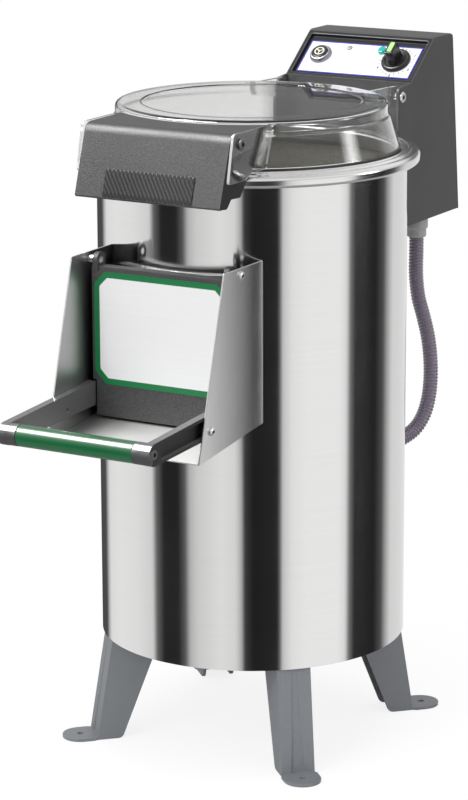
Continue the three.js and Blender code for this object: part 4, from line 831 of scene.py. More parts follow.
def wave(turn):
    """A rounded wave on the disc: a half-round bar from hub to rim whose radius tapers at both ends."""
    start, end, around = 30, 170, 24
    along = np.linspace(start, end, 40)
    swell = np.sin(math.pi * (along - start) / (end - start)) ** 0.4
    angle = np.linspace(0, 2 * math.pi, around, endpoint=False)
    half, rise = 17 * swell[:, None], 8.6 * swell[:, None]
    side = half * np.cos(angle)
    height = DISC_TOP + rise * np.clip(np.sin(angle), -0.15, 1)
    points = np.stack([np.repeat(along[:, None], around, axis=1), side, height], axis=-1)
    spin = np.array(Matrix.Rotation(math.radians(turn), 3, "Z"))
    flat, faces = woven(points @ spin.T, wrap_rows=False)
    ends = [list(range(around)), list(range(len(flat) - around, len(flat)))]
    return solid(flat, faces + ends)


def disc_body():
    """The disc: a plate with a hub below and a stepped rim, joined with three waves."""
    plate = [(10.66, 440), (26, 440), (26, 452), (186, 452), (186, 460), (181, 460), (181, DISC_TOP),
             (10.66, DISC_TOP)]
    body = turned(soft(plate, [0, 1, 1, 1.5, 1.5, 0, 1.5, 0]))
    return joined(body, *[wave(turn) for turn in (0, 120, 240)])


class PEELER_OT_chamber(bpy.types.Operator):
    """Makes the abrasive liner and disc, and dresses what is under them"""

    bl_idname = "peeler.chamber"
    bl_label = "Chamber and drive"

    def execute(self, context):
        piece(grit_liner(), "grit_liner", FINISH["grit"], "machine", ["abrasive_liner"])
        piece(disc_body(), "grit_disc", FINISH["grit"], "disc_body", ["abrasive_disc"])
        foot = DISC_TOP + GAP
        cap = [(0, foot), (18, foot), (18, foot + 6), (12.6, 476.1), (0, DISC_NUT_TOP)]
        piece(turned(soft(cap, [0, 0.5, 2, 3, 0], closed=False), steps=64), "disc_nut", FINISH["screw"],
              "disc_body", ["disc_cap"])
        dressed(["chamber_deck", "drive_shaft", "box_bracket"], FINISH["floor"])
        dressed(["bearing_housing", "lower_bearing", "upper_bearing", "driven_pulley", "motor_pulley",
                 "motor_bracket", "base_ring"], FINISH["cast"])
        dressed(["motor"], FINISH["motor"])
        dressed(["shaft_seal", "drive_belt", "door_seal"], FINISH["rubber"])
        dressed(["drain_pipe", "water_inlet"], FINISH["pale"])
        return {"FINISHED"}


# Legs


class PEELER_OT_legs(bpy.types.Operator):
    """Makes the four pressed legs with softened edges"""

    bl_idname = "peeler.legs"
    bl_label = "Legs"

    def execute(self, context):
        edge = context.scene.peeler_finish.leg_edge
        for place in ("front_left", "front_right", "rear_right", "rear_left"):
            body = bevelled(copied(f"leg_{place}"), edge, 3, 30)
            piece(body, f"pressed_leg_{place}", FINISH["legs"], "machine", [f"leg_{place}"])
        return {"FINISHED"}


# Chute, door and lever


def pin_body(centre, shank, shoulder, side):
    """A pin through a cheek: shank, shoulder inside, and a domed head outside with a hexagon socket."""
    thin, wide, cheek_inner, head, crown = 4, 5.5, 107.7, 110.3, 1.05
    profile = [(0, shank), (thin, shank), (thin, shoulder), (wide, shoulder), (wide, cheek_inner),
               (thin, cheek_inner), (thin, head)]
    angle = np.linspace(0, crown, 6)
    dome = np.stack([wide * np.cos(angle), head + 0.8 + 2.4 * np.sin(angle) / math.sin(crown)], axis=1)
    profile += [(wide, head)] + dome.tolist()
    first_hex = len(profile)
    profile += [(1.9, head + 3.2), (1.75, head + 1.6), (0, head + 1.4)]
    return turned(profile, (0, *centre), sideways(side), 48, hexed=(first_hex, first_hex + 1))


class PEELER_OT_chute(bpy.types.Operator):
    """Makes the chute's cheeks, floor, neck and the pins through the cheeks"""

    bl_idname = "peeler.chute"
    bl_label = "Chute"

    def execute(self, context):
        for side, word in SIDES:
            body = bevelled(copied(f"chute_cheek_{word}"), 0.0005, 2, 40)
            cheek = piece(body, f"cheek_{word}", FINISH["cheek"], "machine", [f"chute_cheek_{word}"])
            # The inner faces take the darker copy of the steel: painted shade
            inside = face_rows(cheek.data, "normal")[:, 0] * side < -0.5
            more_finishes(cheek, inside, FINISH["cheek_inside"])
            for kind, centre, shank, shoulder in (
                    ("door_pin", DOOR_PIN, 91, 98.3), ("lever_pin", LEVER_PIN, 97, 107.4)):
                pin = pin_body(centre, shank, shoulder, side)
                side_screw(pin, f"{kind}_screw_{word}", "screw", "machine", f"{kind}_{word}", centre, 2.1)
        piece(bevelled(copied("chute_floor"), 0.0004, 2, 40), "chute_slide", FINISH["floor"], "machine",
              ["chute_floor"])
        piece(bevelled(copied("discharge_neck"), 0.0004, 2, 40), "neck_and_visor", FINISH["rim"],
              "machine", ["discharge_neck"])
        return {"FINISHED"}


class PEELER_OT_door(bpy.types.Operator):
    """Makes the dished door with its ears and the bordered label"""

    bl_idname = "peeler.door"
    bl_label = "Door"

    def execute(self, context):
        piece(bevelled(copied("discharge_door"), 0.0009, 3, 30), "door_plate", FINISH["door"], "door_body",
              ["discharge_door"])
        wide, tall = LABEL_HALF, LABEL_RISE
        cut_wide, cut_tall = wide - LABEL_CUT, tall - LABEL_CUT
        outline = [(-cut_wide, -tall), (cut_wide, -tall), (wide, -cut_tall), (wide, cut_tall),
                   (cut_wide, tall), (-cut_wide, tall), (-wide, cut_tall), (-wide, -cut_tall)]
        sheet = prism(soft(np.array(outline) + (0, LABEL_MIDDLE), 1.5), LABEL_FRONT, LABEL_BACK, "Y")
        piece(sheet, "label_sheet", FINISH["label"], "door_body", ["door_label"])
        return {"FINISHED"}


# How far the bare hubs at the ends of the lever's arms reach from the grip's axis
HUB_REACH = 16


def grip_tube():
    """The grip: a bar with rounded ends, bored for the tie rod."""
    bore, radius, half = 5.3, 13.5, 82.5
    profile = [(bore, -half), (radius, -half), (radius, half), (bore, half)]
    return turned(soft(profile, [0, 1.2, 1.2, 0]), (0, *GRIP), ALONG_X, 96)


def tie_rod():
    """The rod through the grip and both arms, with a low head and a hexagon socket at each end."""
    half = [(0, 0), (5, 0), (5, 104.2), (7, 104.2), (7, 106.4), (6.3, 107.1), (2.6, 107.1), (2.4, 105.6),
            (0, 105.4)]
    return joined(*[turned(half, (0, *GRIP), sideways(side), 48, hexed=(6, 7)) for side, _ in SIDES])


class PEELER_OT_lever(bpy.types.Operator):
    """Makes the U-shaped lever: channel arms, hubs, green grip and tie rod"""

    bl_idname = "peeler.lever"
    bl_label = "Lever"

    def execute(self, context):
        for side, word in SIDES:
            body = bevelled(copied(f"lever_arm_{word}"), 0.0008, 3, 40)
            arm = piece(body, f"channel_arm_{word}", FINISH["lever"], "lever_body", [f"lever_arm_{word}"])
            middle, normal = face_rows(arm.data, "center") / MM, face_rows(arm.data, "normal")
            away = np.hypot(middle[:, 1] - AXIS_Y - GRIP[0], middle[:, 2] - GRIP[1])
            # The outward faces lie in the channel and take the darker copy of the paint: painted shade
            outer_side = normal[:, 0] * side > 0.6
            numbers = np.where(away < HUB_REACH, 2, np.where(outer_side, 1, 0))
            more_finishes(arm, numbers, FINISH["lever_side"], FINISH["hub"])
        piece(grip_tube(), "green_grip", FINISH["grip"], "lever_body", ["lever_grip"])
        side_screw(tie_rod(), "tie_rod", "zinc", "lever_body", "lever_tie_rod", GRIP, 2.9)
        return {"FINISHED"}


# Lid and hood

# The ears' two sides as x, and the radii of the holes for their screws and for the hinge screws
EAR_INNER, EAR_OUTER, LATCH_HOLE, HINGE_HOLE = 105.2, 108.8, 2.8, 5.3
# The lid's wall, and the radius of the round ends of its arms
LID_WALL, ARM_END = 3.5, 15


def lid_line():
    """The lid's outer line from the middle of its window to the foot of its skirt."""
    corners = [(0, LID_WINDOW), (140.5, LID_WINDOW), (142, 839), (175.5, 839), (175.5, 824), (178, 821.5),
               (189, LID_FOOT)]
    return soft(corners, [0, 0.6, 0.6, 8.5, 1.7, 1.7, 0], 9, closed=False)


def lid_body():
    """The lid: its line thickened inwards and carried round the axis, then the ears for the hood and the
    arms to the hinge, each cut back to the lid's wall and joined to it."""
    line = lid_line()
    shell_line = thickened(line, LID_WALL)
    shell_line[len(line), 1] = LID_FOOT
    shell_line[-1] = (0, LID_WINDOW - LID_WALL)
    shell = turned(shell_line, steps=192)
    inner = shell_line[len(line):][::-1]
    inside = turned([(0, 770), (inner[-1][0], 770), *inner[::-1].tolist()], steps=192)
    ear_line = [(-247.5, 776), (-205.3, 776), (-193.3, 782.3), (-124, 782.3), (-124, 835.5), (-235, 835.5)]
    ear = prism(soft(ear_line, [5, 1, 1, 0, 0, 5]), EAR_INNER, EAR_OUTER)
    ear = cut(ear, side_bar(LATCH_HOLE, 100, 115, LATCH_PIN))
    angle = np.radians(np.linspace(-110, 95, 28))
    hub = np.array(LID_PIN) + ARM_END * np.stack([np.cos(angle), np.sin(angle)], axis=1)
    arm_line = [(120, 821.5), (220, 806)] + hub.tolist() + [(120, 836.5)]
    arm = cut(prism(arm_line, 83, 89.5), side_bar(HINGE_HOLE, 70, 100, LID_PIN))
    arm, ear = bevelled(arm, 0.0006, 2, 50), bevelled(ear, 0.0006, 2, 50)
    limbs = [ear, mirrored(ear), arm, mirrored(arm)]
    cores = [inside] + [mirrored(inside) for _ in limbs[1:]]
    return joined(shell, *[cut(limb, core) for limb, core in zip(limbs, cores)])


class PEELER_OT_lid(bpy.types.Operator):
    """Makes the clear lid with its ears and arms, and its gasket"""

    bl_idname = "peeler.lid"
    bl_label = "Lid"

    def execute(self, context):
        lid = piece(lid_body(), "clear_lid", FINISH["clear"], "lid_body", ["lid"], 28)
        middle, normal = face_rows(lid.data, "center") / MM, face_rows(lid.data, "normal")
        # The ears' edge faces take the whitish copy of the plastic: painted sheen
        on_ear = (np.abs(middle[:, 0]) > EAR_INNER - GAP) & (middle[:, 1] < AXIS_Y - 180)
        more_finishes(lid, on_ear & (np.abs(normal[:, 0]) < 0.6), FINISH["clear_edge"])
        gasket = tube_of(184.4, 190.8, 778.3, 781.7, 0.9, steps=160)
        piece(gasket, "rim_gasket", FINISH["rubber"], "lid_body", ["lid_gasket"])
        return {"FINISHED"}


HOOD_FOOT, HOOD_BEND, HOOD_BACK = (-261, 747), (-232.9, 835), (-145.4, 835.4)
HOOD_HALF, HOOD_SHEET = 103.5, 3
# The hood cheek's rear edge, from the foot up
HOOD_EDGE = [(-243, 745.5), (-233, 756), (-211, 755), (-198, 770), (-186, 786), (-179, 797), (-160, 801),
             (-154, 813)]


def hood_body(edge):
    """The hood: a folded strip with two cheeks, its rear edge cut round the lid, and bosses for its
    screws."""
    line = soft([HOOD_FOOT, HOOD_BEND, HOOD_BACK], [0, 12, 0], 12, closed=False)
    strip = prism(thickened(line, HOOD_SHEET), -HOOD_HALF, HOOD_HALF)
    rear = HOOD_EDGE[-1][0] + 1.5
    outer = soft([HOOD_FOOT, *HOOD_EDGE, (rear, 834.5), HOOD_BEND], [1, 3, 2, 2, 2, 2, 4, 4, 3, 0, 12], 12)
    cheek = prism(outer, HOOD_HALF - HOOD_SHEET, HOOD_HALF)
    boss = side_bar(5.5, 91.5, HOOD_HALF - 0.1, LATCH_PIN, 40)
    lip = prism([(-264, 744), (-256.5, 744), (-262, 750.2), (-264, 750.2)], -110, 110)
    hood = cut(joined(strip, cheek, mirrored(cheek)), lip)
    lid_room = rod_of(181, 780, 850, steps=160)
    hood = bevelled(cut(hood, lid_room), edge, 3, 40)
    hole = side_bar(LATCH_HOLE, 80, 120, LATCH_PIN)
    return cut(joined(hood, boss, mirrored(boss)), hole, mirrored(hole))


def finger_pad():
    """The ribbed pad on the hood's face: a sheet whose height follows a rounded wave that leans with the
    way up the face, with its edges turned down into the hood."""
    slant = math.atan2(HOOD_BEND[1] - HOOD_FOOT[1], HOOD_BEND[0] - HOOD_FOOT[0])
    low, high = 2.5 / math.sin(slant), 35 / math.sin(slant)
    half, ribs, lean, mean, rise, edge, buried = 63.5, 22, 22, 1.1, 0.7, 0.8, -0.6
    x, v = np.meshgrid(np.linspace(-half, half, 12 * ribs + 1), np.linspace(low, high, 12), indexing="ij")
    phase = (x + lean * (v - low) / (high - low)) * 2 * math.pi * ribs / (2 * half)
    height = mean + rise * np.tanh(1.4 * np.cos(phase))
    height[[0, -1], :] = height[:, [0, -1]] = edge
    turn, origin = np.array(Matrix.Rotation(slant, 3, "X")), np.array([0, *HOOD_FOOT])
    (top, faces), (under, under_faces) = [
        woven(np.stack([x, v, level], axis=-1) @ turn.T + origin, False, False)
        for level in (height, np.full_like(x, buried))]
    count = len(top)
    index = np.arange(count).reshape(x.shape)
    loop = np.concatenate([index[:-1, 0], index[-1, :-1], index[:0:-1, -1], index[0, :0:-1]])
    after = np.roll(loop, -1)
    sides = np.stack([loop, after, after + count, loop + count], axis=1)
    faces += (np.array(under_faces) + count).tolist() + sides.tolist()
    return solid(np.vstack([top, under]), faces)


def hood_screw(side):
    """A screw through the lid's ear: a low head with a hexagon socket."""
    profile = [(0, 91.5), (2.5, 91.5), (2.5, 109.1), (6.8, 109.1), (6.8, 110.2), (5.6, 111.4), (2.7, 111.6),
               (2.4, 110.2), (0, 110)]
    return turned(profile, (0, *LATCH_PIN), sideways(side), 48, hexed=(6, 7))


class PEELER_OT_hood(bpy.types.Operator):
    """Makes the hood that latches the lid, its finger pad and its screws"""

    bl_idname = "peeler.hood"
    bl_label = "Hood"

    def execute(self, context):
        hood = hood_body(context.scene.peeler_finish.hood_edge)
        hood = piece(hood, "folded_hood", FINISH["hood"], "latch_body", ["latch_hood"], 30)
        # The hood's side faces take the darker copy of its plastic: painted shade
        more_finishes(hood, np.abs(face_rows(hood.data, "normal")[:, 0]) > 0.8, FINISH["hood_side"])
        piece(finger_pad(), "finger_pad", FINISH["pad"], "latch_body", angle=50)
        for side, word in SIDES:
            side_screw(hood_screw(side), f"hood_screw_{word}", "zinc", "lid_body", f"latch_screw_{word}",
                       LATCH_PIN, 2.9)
        return {"FINISHED"}


# Control box


def box_body(edge):
    """The box: its side outline carried across and rounded, then cut by its room, the hinge bay, the sunken
    panel and its holes."""
    line = [(226, 640), (411, 640), (386, 887), (331, 887), (262, 834), (226, 831)]
    outer = prism(soft(line, [0, 0, 9, 5, 0.5, 8], 6), -96, 96)
    recess = prism(soft(oblong(89, 5, 78), 3), -5, 9, "P")
    outer = bevelled(cut(outer, recess), edge, 4, 35)
    back_slope, overhang, cover_depth = 25 / 247, 6, 3.3
    cover = [(411 + overhang * back_slope - cover_depth, 640 - overhang), (440, 640 - overhang),
             (440, 887 + overhang), (386 - overhang * back_slope - cover_depth, 887 + overhang)]
    room = [(229, 643), (417, 643), (398, 884), (332.5, 884), (263.5, 831), (229, 828)]
    room = cut(prism(room, -93, 93), slab((-93, 227.5, 767), (93, 261, 832.5)),
               prism(oblong(92, 3.5, 79.5), -8, 6, "P"))
    bay = slab((-91.5, 220, 770), (91.5, 258, 840))
    holes = [panel_bar(*hole) for hole in BUTTON_HOLES]
    holes.append(rod_of(7.5, 634, 649, origin=(*BOX_GLAND[:2], 0), steps=32))
    holes.append(side_bar(HINGE_HOLE, -102, 102, LID_PIN))
    return cut(outer, room, bay, *holes, prism(cover, -102, 102))


def hinge_screw(side):
    """The lid's hinge screw: a domed washer head with a hexagon socket outside the box's cheek."""
    profile = [(0, 83), (5, 83), (5, 96.3), (7.5, 96.3), (7.5, 97.2), (6.4, 98.4), (3.0, 98.4), (2.7, 96.9),
               (0, 96.8)]
    return turned(profile, (0, *LID_PIN), sideways(side), 48, hexed=(6, 7))


class PEELER_OT_box(bpy.types.Operator):
    """Makes the control box, its cover and the hinge screws"""

    bl_idname = "peeler.box"
    bl_label = "Control box"

    def execute(self, context):
        box = box_body(context.scene.peeler_finish.box_edge)
        shell = piece(box, "box_shell", FINISH["box"], "machine", ["control_box"], 30)
        middle = face_rows(shell.data, "center") / MM - (0, AXIS_Y, 0)
        across, up, out = ((middle - PANEL_ORIGIN) @ ON_PANEL).T
        facing = (face_rows(shell.data, "normal") @ ON_PANEL)[:, 2]
        # The sloped face round the plate and the recess walls take the darker copy of the box paint: painted
        # shade
        slope = (np.abs(out) < 0.2) & (facing > 0.99) & (up > 0)
        walls = (np.abs(across) < 89.5) & (up > 4.5) & (up < 78.5) & (out > -5.5) & (out < -0.3)
        more_finishes(shell, slope | walls, FINISH["box_slope"])
        piece(bevelled(copied("box_back_cover"), 0.0005, 2, 50), "box_cover", FINISH["box"], "machine",
              ["box_back_cover"])
        for side, word in SIDES:
            side_screw(hinge_screw(side), f"hinge_screw_{word}", "screw", "machine",
                       f"lid_hinge_screw_{word}", LID_PIN, 3.2)
        dressed(["timer_unit", "switch_carrier", "contactor"], FINISH["black"])
        return {"FINISHED"}


# Heights out of the panel: where the knob and the stop ring stand, and the top of the stop button's cap
PANEL_STAND, STOP_TOP = PLATE_FRONT + GAP, PLATE_FRONT + GAP + 7.8
# Distance of the figures from the knob's axis
FIGURE_RING = 26.5


def panel_turned(profile, spot, **options):
    """A turned body that stands on the sloped panel at (across, up)."""
    return turned(profile, panel_point(*spot), ON_PANEL, **options)


def figure(number, degrees):
    """A plain figure beside the knob, made a mesh before it is set on the plate."""
    height, half_thick, bolder = 5.6 * MM, 0.065 * MM, 0.32 * MM
    curve = bpy.data.curves.new("figure", "FONT")
    curve.body, curve.size, curve.extrude, curve.offset = str(number), height, half_thick, bolder
    curve.align_x, curve.align_y, curve.resolution_u = "CENTER", "CENTER", 3
    flat = bpy.data.objects.new("figure", curve)
    bpy.context.scene.collection.objects.link(flat)
    mesh = bpy.data.meshes.new_from_object(flat.evaluated_get(bpy.context.evaluated_depsgraph_get()))
    bpy.data.objects.remove(flat)
    angle = math.radians(degrees)
    spot = panel_point(
        KNOB[0] + FIGURE_RING * math.cos(angle), KNOB[1] + FIGURE_RING * math.sin(angle), PLATE_FRONT)
    mesh.transform(Matrix.Translation(Vector(metres(spot))) @ Matrix(ON_PANEL.tolist()).to_4x4())
    body = bpy.data.objects.new("figure", mesh)
    bpy.context.scene.collection.objects.link(body)
    return body


def dial_marks():
    """Fine ticks round the knob with plain figures at every sixth of a turn, as thin prisms."""
    ticks = [prism(spoke(KNOB, 90 - step * 15, 23, 25.8, 0.5), PLATE_FRONT - 0.05, PLATE_FRONT + 0.08, "P")
             for step in range(21) if step % 4 or not step]
    return merged(ticks + [figure(number, 90 - number * 60) for number in range(1, 6)])


def merged(bodies):
    """Several small bodies as one object, side by side in one mesh."""
    shape = bmesh.new()
    for body in bodies:
        shape.from_mesh(body.data)
        bpy.data.objects.remove(body)
    bmesh.ops.remove_doubles(shape, verts=shape.verts, dist=1e-7)
    mesh = bpy.data.meshes.new("merged")
    shape.to_mesh(mesh)
    shape.free()
    body = bpy.data.objects.new("merged", mesh)
    bpy.context.scene.collection.objects.link(body)
    return body


def stop_symbol():
    """A ring with three spokes, raised on the stop button's cap."""
    low, high = STOP_TOP - 0.1, STOP_TOP + 0.15
    ring = [(5.4, low), (7.2, low), (7.2, high), (5.4, high)]
    hub = [(0, low), (1.5, low), (1.5, high), (0, high)]
    spokes = [prism(spoke(STOP, turn, 1, 5.8, 0.7), low, high, "P") for turn in (30, 150, 270)]
    return joined(panel_turned(ring, STOP, steps=64), panel_turned(hub, STOP, steps=32), *spokes)


def timer_handle():
    """The knob: a stepped skirt turned round its axis, joined with a grip bar that has rounded ends."""
    base = PANEL_STAND
    skirt = [(0, -15), (3, -15), (3, base), (20.5, base), (20.5, base + 3.8), (18.4, base + 6),
             (15, base + 6), (14, base + 4.4), (0, base + 4.4)]
    knob = panel_turned(soft(skirt, [0, 0, 0, 0.6, 1.2, 1.2, 0.8, 0.8, 0], closed=False), KNOB, steps=96)
    bar = prism(soft(oblong(6, -11.2, 11.2, KNOB), 2.4, 6), base + 3, base + 27, "P")
    return joined(knob, bevelled(bar, 0.0012, 4, 50))


class PEELER_OT_panel(bpy.types.Operator):
    """Makes the panel plate, knob, stop and start buttons, pilot lens and dial print"""

    bl_idname = "peeler.panel"
    bl_label = "Panel"

    def execute(self, context):
        base = PANEL_STAND
        plate = prism(soft(oblong(PLATE_HALF, PLATE_LOW, PLATE_HIGH), 1), PLATE_BACK, PLATE_FRONT, "P")
        holes = [panel_bar(*hole, 12) for hole in (*BUTTON_HOLES, LENS_HOLE)]
        piece(cut(plate, *holes), "printed_plate", FINISH["panel"], "machine", ["panel_plate"])
        piece(dial_marks(), "dial_print", FINISH["ink"], "machine")
        piece(timer_handle(), "timer_handle", FINISH["black"], "knob_body", ["timer_knob"])
        inlay = prism(soft(oblong(3.1, -8.6, 9, KNOB), 1.8), base + 26, base + 27.4, "P")
        piece(inlay, "timer_pointer", FINISH["pointer"], "knob_body")
        ring = [(11.8, base), (15.5, base), (15.5, base + 3.4), (13.6, base + 6.3), (11.8, base + 6.5)]
        piece(panel_turned(soft(ring, [0, 0.4, 1.8, 1.4, 0.5]), STOP, steps=96), "stop_ring", FINISH["bezel"],
              "machine", ["stop_bezel"])
        cap = [(0, -12.3), (7, -12.3), (7, base + 4), (11.5, base + 4), (11.5, STOP_TOP - 0.6),
               (10.4, STOP_TOP), (0, STOP_TOP)]
        piece(panel_turned(soft(cap, [0, 0, 0, 0.3, 0.6, 0.6, 0], closed=False), STOP, steps=96), "stop_cap",
              FINISH["black"], "stop_body", ["stop_button"])
        piece(stop_symbol(), "stop_symbol", FINISH["cream"], "stop_body")
        cap = [(0, -10.8), (6, -10.8), (6, 0), (5, 1.3), (0, 1.3)]
        piece(panel_turned(soft(cap, [0, 0, 1, 1, 0], closed=False), START, steps=64), "start_cap",
              FINISH["teal"], "start_body", ["start_button"])
        dome = np.radians(np.linspace(0, 90, 10))
        lens = [(0, PLATE_BACK), (4, PLATE_BACK)] + np.stack(
            [4 * np.cos(dome), PLATE_FRONT + 0.4 + 1.6 * np.sin(dome)], axis=1).tolist()
        lens[-1][0] = 0
        piece(panel_turned(lens, LENS, steps=48), "pilot_dome", FINISH["pale"], "machine", ["pilot_lens"])
        return {"FINISHED"}


# Conduit

# The route repeats the source's points: two straight ends and the points between them
ROUTE = [
    (77.2, 319.6, 560), (82.5, 317, 530), (93, 312, 505), (104, 305, 478), (112.5, 296, 450),
    (118, 286, 424), (121, 274, 400), (120.5, 261, 380), (115, 246, 363),
]
HOSE_RADIUS, HOSE_BORE, HOSE_PITCH, HOSE_RIB = 10.2, 7.2, 4.4, 1.0


def centripetal(points, steps=60):
    """A centripetal Catmull-Rom line through the points, with mirrored points beyond both ends."""
    points = np.vstack([2 * points[0] - points[1], points, 2 * points[-1] - points[-2]])
    p0, p1, p2, p3 = points[:-3], points[1:-2], points[2:-1], points[3:]
    spans = [np.linalg.norm(b - a, axis=1)[:, None, None] ** 0.5 for a, b in ((p0, p1), (p1, p2), (p2, p3))]
    t0 = np.zeros_like(spans[0])
    t1, t2, t3 = t0 + spans[0], t0 + spans[0] + spans[1], t0 + sum(spans)
    t = t1 + (t2 - t1) * np.linspace(0, 1, steps, endpoint=False)[None, :, None]
    p0, p1, p2, p3 = (p[:, None, :] for p in (p0, p1, p2, p3))

    def between(a, b, low, high):
        return (high - t) / (high - low) * a + (t - low) / (high - low) * b

    first, second, third = between(p0, p1, t0, t1), between(p1, p2, t1, t2), between(p2, p3, t2, t3)
    line = between(between(first, second, t0, t2), between(second, third, t1, t3), t1, t2)
    return np.vstack([line.reshape(-1, 3), points[-2]])


def conduit_path():
    """The conduit's centre line from gland to gland, at even steps along its length."""
    turn = math.radians(DRUM_GLAND_TURN)
    out = np.array([math.sin(turn), math.cos(turn), 0])
    start = np.array(BOX_GLAND) - (0, 0, GLAND_LENGTH + 2 * GAP)
    end = out * (DRUM_RADIUS - DRUM_WALL / 2 + GLAND_LENGTH + GAP) + (0, 0, DRUM_GLAND_HEIGHT)
    down = np.array([0, 0, -1.0])
    points = [start, start + down * HOSE_RADIUS, start + down * 2 * HOSE_RADIUS]
    points += [np.array(point, float) for point in ROUTE]
    points += [end + out * 2 * HOSE_RADIUS, end + out * HOSE_RADIUS, end]
    line = centripetal(np.array(points))
    run = np.concatenate([[0], np.cumsum(np.linalg.norm(np.diff(line, axis=0), axis=1))])
    count = int(round(run[-1] / HOSE_PITCH)) * 8 + 1
    even = np.linspace(0, run[-1], count)
    return np.stack([np.interp(even, run, line[:, i]) for i in range(3)], axis=1), run[-1]


def carried_frames(line):
    """Side and up at each point, square to the line: the side is one fixed direction with the line's own
    share taken out of it."""
    tangent = np.gradient(line, axis=0)
    tangent /= np.linalg.norm(tangent, axis=1)[:, None]
    reference = np.array([1.0, 0.2, 0])
    side = reference - tangent * (tangent @ reference)[:, None]
    side /= np.linalg.norm(side, axis=1)[:, None]
    return side, np.cross(tangent, side)


def conduit_body():
    """The conduit: a circle carried along its line, its radius a wave that winds round as a screw thread."""
    line, length = conduit_path()
    side, up = carried_frames(line)
    angle = np.linspace(0, 2 * math.pi, 36, endpoint=False)
    run = np.linspace(0, length, len(line))
    phase = 2 * math.pi * run[:, None] / HOSE_PITCH - angle
    rib = np.tanh(2.0 * np.cos(phase)) / math.tanh(2.0)
    radius = HOSE_RADIUS - HOSE_RIB * (0.5 - 0.5 * rib)
    circle = np.cos(angle)[None, :, None] * side[:, None] + np.sin(angle)[None, :, None] * up[:, None]
    outer = line[:, None] + radius[:, :, None] * circle
    bore = (line[:, None] + HOSE_BORE * circle)[::-1]
    return solid(*woven(np.concatenate([outer, bore]))), line, length


def gland_profile(radius, low):
    """A gland: a wide nut with a rounded shoulder, then a narrower collar."""
    nut, collar, end = low + GLAND_LENGTH * 0.5, radius * 0.86, low + GLAND_LENGTH
    shoulder = nut + GLAND_LENGTH * 0.06
    corners = [(HOSE_BORE, low), (radius, low), (radius, nut), (collar, shoulder), (collar, end),
               (HOSE_BORE, end)]
    return soft(corners, [0, 1, 1.2, 1, 2.4, 0])


class PEELER_OT_conduit(bpy.types.Operator):
    """Makes the ribbed conduit and its two glands"""

    bl_idname = "peeler.conduit"
    bl_label = "Conduit"

    def execute(self, context):
        body, line, length = conduit_body()
        piece(body, "ribbed_conduit", FINISH["conduit"], "machine", ["conduit"], 80)
        hanging = np.diag([1.0, -1.0, -1.0])
        gland = turned(gland_profile(15.5, GAP), BOX_GLAND, hanging, 72)
        piece(gland, "box_gland", FINISH["pale"], "machine", ["gland_box"])
        profile = gland_profile(13, DRUM_RADIUS - DRUM_WALL / 2)
        gland = turned(profile, (0, 0, DRUM_GLAND_HEIGHT), outward(DRUM_GLAND_TURN), 72)
        gland = cut(gland, rod_of(DRUM_RADIUS + GAP, 200, 500, steps=200))
        piece(gland, "drum_gland", FINISH["pale"], "machine", ["gland_drum"])
        return {"FINISHED"}


# Stage

# Directions round the stage, in degrees from +X, and the brightness that a reflection sees there
CARDS = [
    (-180, 0.94), (-158, 0.90), (-142, 0.78), (-138, 0.14), (-131, 0.018), (-118, 0.018), (-112, 0.12),
    (-108.5, 0.55), (-102, 0.74), (-84, 0.90), (-73, 0.82), (-69, 0.42), (-67, 0.05), (-60, 0.012),
    (-42, 0.02), (-40, 0.12), (-38, 0.66), (-31, 0.92), (-20, 1.0), (7, 1.0), (13.5, 0.86),
    (17, 0.2), (22, 0.03), (44, 0.018), (54, 0.09), (60, 0.42), (68, 0.78), (119, 0.86), (121.5, 0.06),
    (152, 0.08), (162, 0.86),
]
# Brightness by height, as the direction's Z. It fades in below the first two edges and above the last two
SKY = [(-1, 0.3), (-0.8, 0.4), (-0.55, 0.45), (0.1, 0.6), (0.3, 0.68), (0.5, 1.0), (0.8, 0.8), (1, 0.6)]
SKY_EDGES = (-0.62, -0.5, 0.06, 0.16)
# A curtain and a strip lamp that only reflections see: brightness, middle and half width in degrees, fade at
# the sides in degrees, lower and upper height, fade at those
PATCHES = [
    (0.2, 99.5, 20, 0.25, 0.1, 0.36, 0.03),
    (8.0, 26, 10, 9, 0.0, 0.3, 0.05),
]
# The camera's place, the direction from its aim back to it, its roll, and its lens from the focal length in
# pixels of a picture 800 high
CAMERA_AT = (1970.5, -3460.9, 1442.8)
CAMERA_BACK = (0.48502, -0.83992, 0.24350)
CAMERA_ROLL = math.radians(-0.187)
SENSOR = 36
CAMERA_LENS = 3133.6 / 800 * SENSOR


def stage_camera():
    """A camera at the photograph's place, aimed by its own back, side and up directions."""
    back = Vector(CAMERA_BACK).normalized()
    side = Vector((0, 0, 1)).cross(back).normalized()
    turn = Matrix((side, back.cross(side), back)).transposed()
    turn = Matrix.Rotation(CAMERA_ROLL, 3, back) @ turn
    data = bpy.data.cameras.new("camera")
    data.lens, data.sensor_width, data.sensor_fit = CAMERA_LENS, SENSOR, "AUTO"
    data.clip_start, data.clip_end = 0.05, 60
    camera = bpy.data.objects.new("camera", data)
    camera.matrix_world = Matrix.Translation(metres(CAMERA_AT)) @ turn.to_4x4()
    bpy.context.scene.collection.objects.link(camera)
    bpy.context.scene.camera = camera


def levels(tree, share, stops):
    """A grey ramp through (position from 0 to 1, brightness) pairs."""
    ramp = tree.node("ShaderNodeValToRGB", {0: share})
    elements = ramp.color_ramp.elements
    elements[0].position, elements[1].position = 0, 1
    for position, _ in stops[1:-1]:
        elements.new(position)
    for element, (_, level) in zip(elements, stops):
        element.color = (level, level, level, 1)
    return ramp.outputs[0]


def patched(tree, below, angle, height, patch):
    """The surroundings with a patch laid over them, its four sides faded."""
    level, middle, half, side_fade, bottom, top, fade = patch
    away = tree.math("ABSOLUTE", tree.math("SUBTRACT", angle, math.radians(middle)))
    across = tree.ranged(away, math.radians(half), math.radians(half - side_fade))
    rise = tree.ranged(height, bottom - fade, bottom + fade)
    fall = tree.ranged(height, top + fade, top - fade)
    lit = tree.math("MULTIPLY", across, tree.math("MULTIPLY", rise, fall))
    return tree.blend(lit, below, (level, level, level, 1))


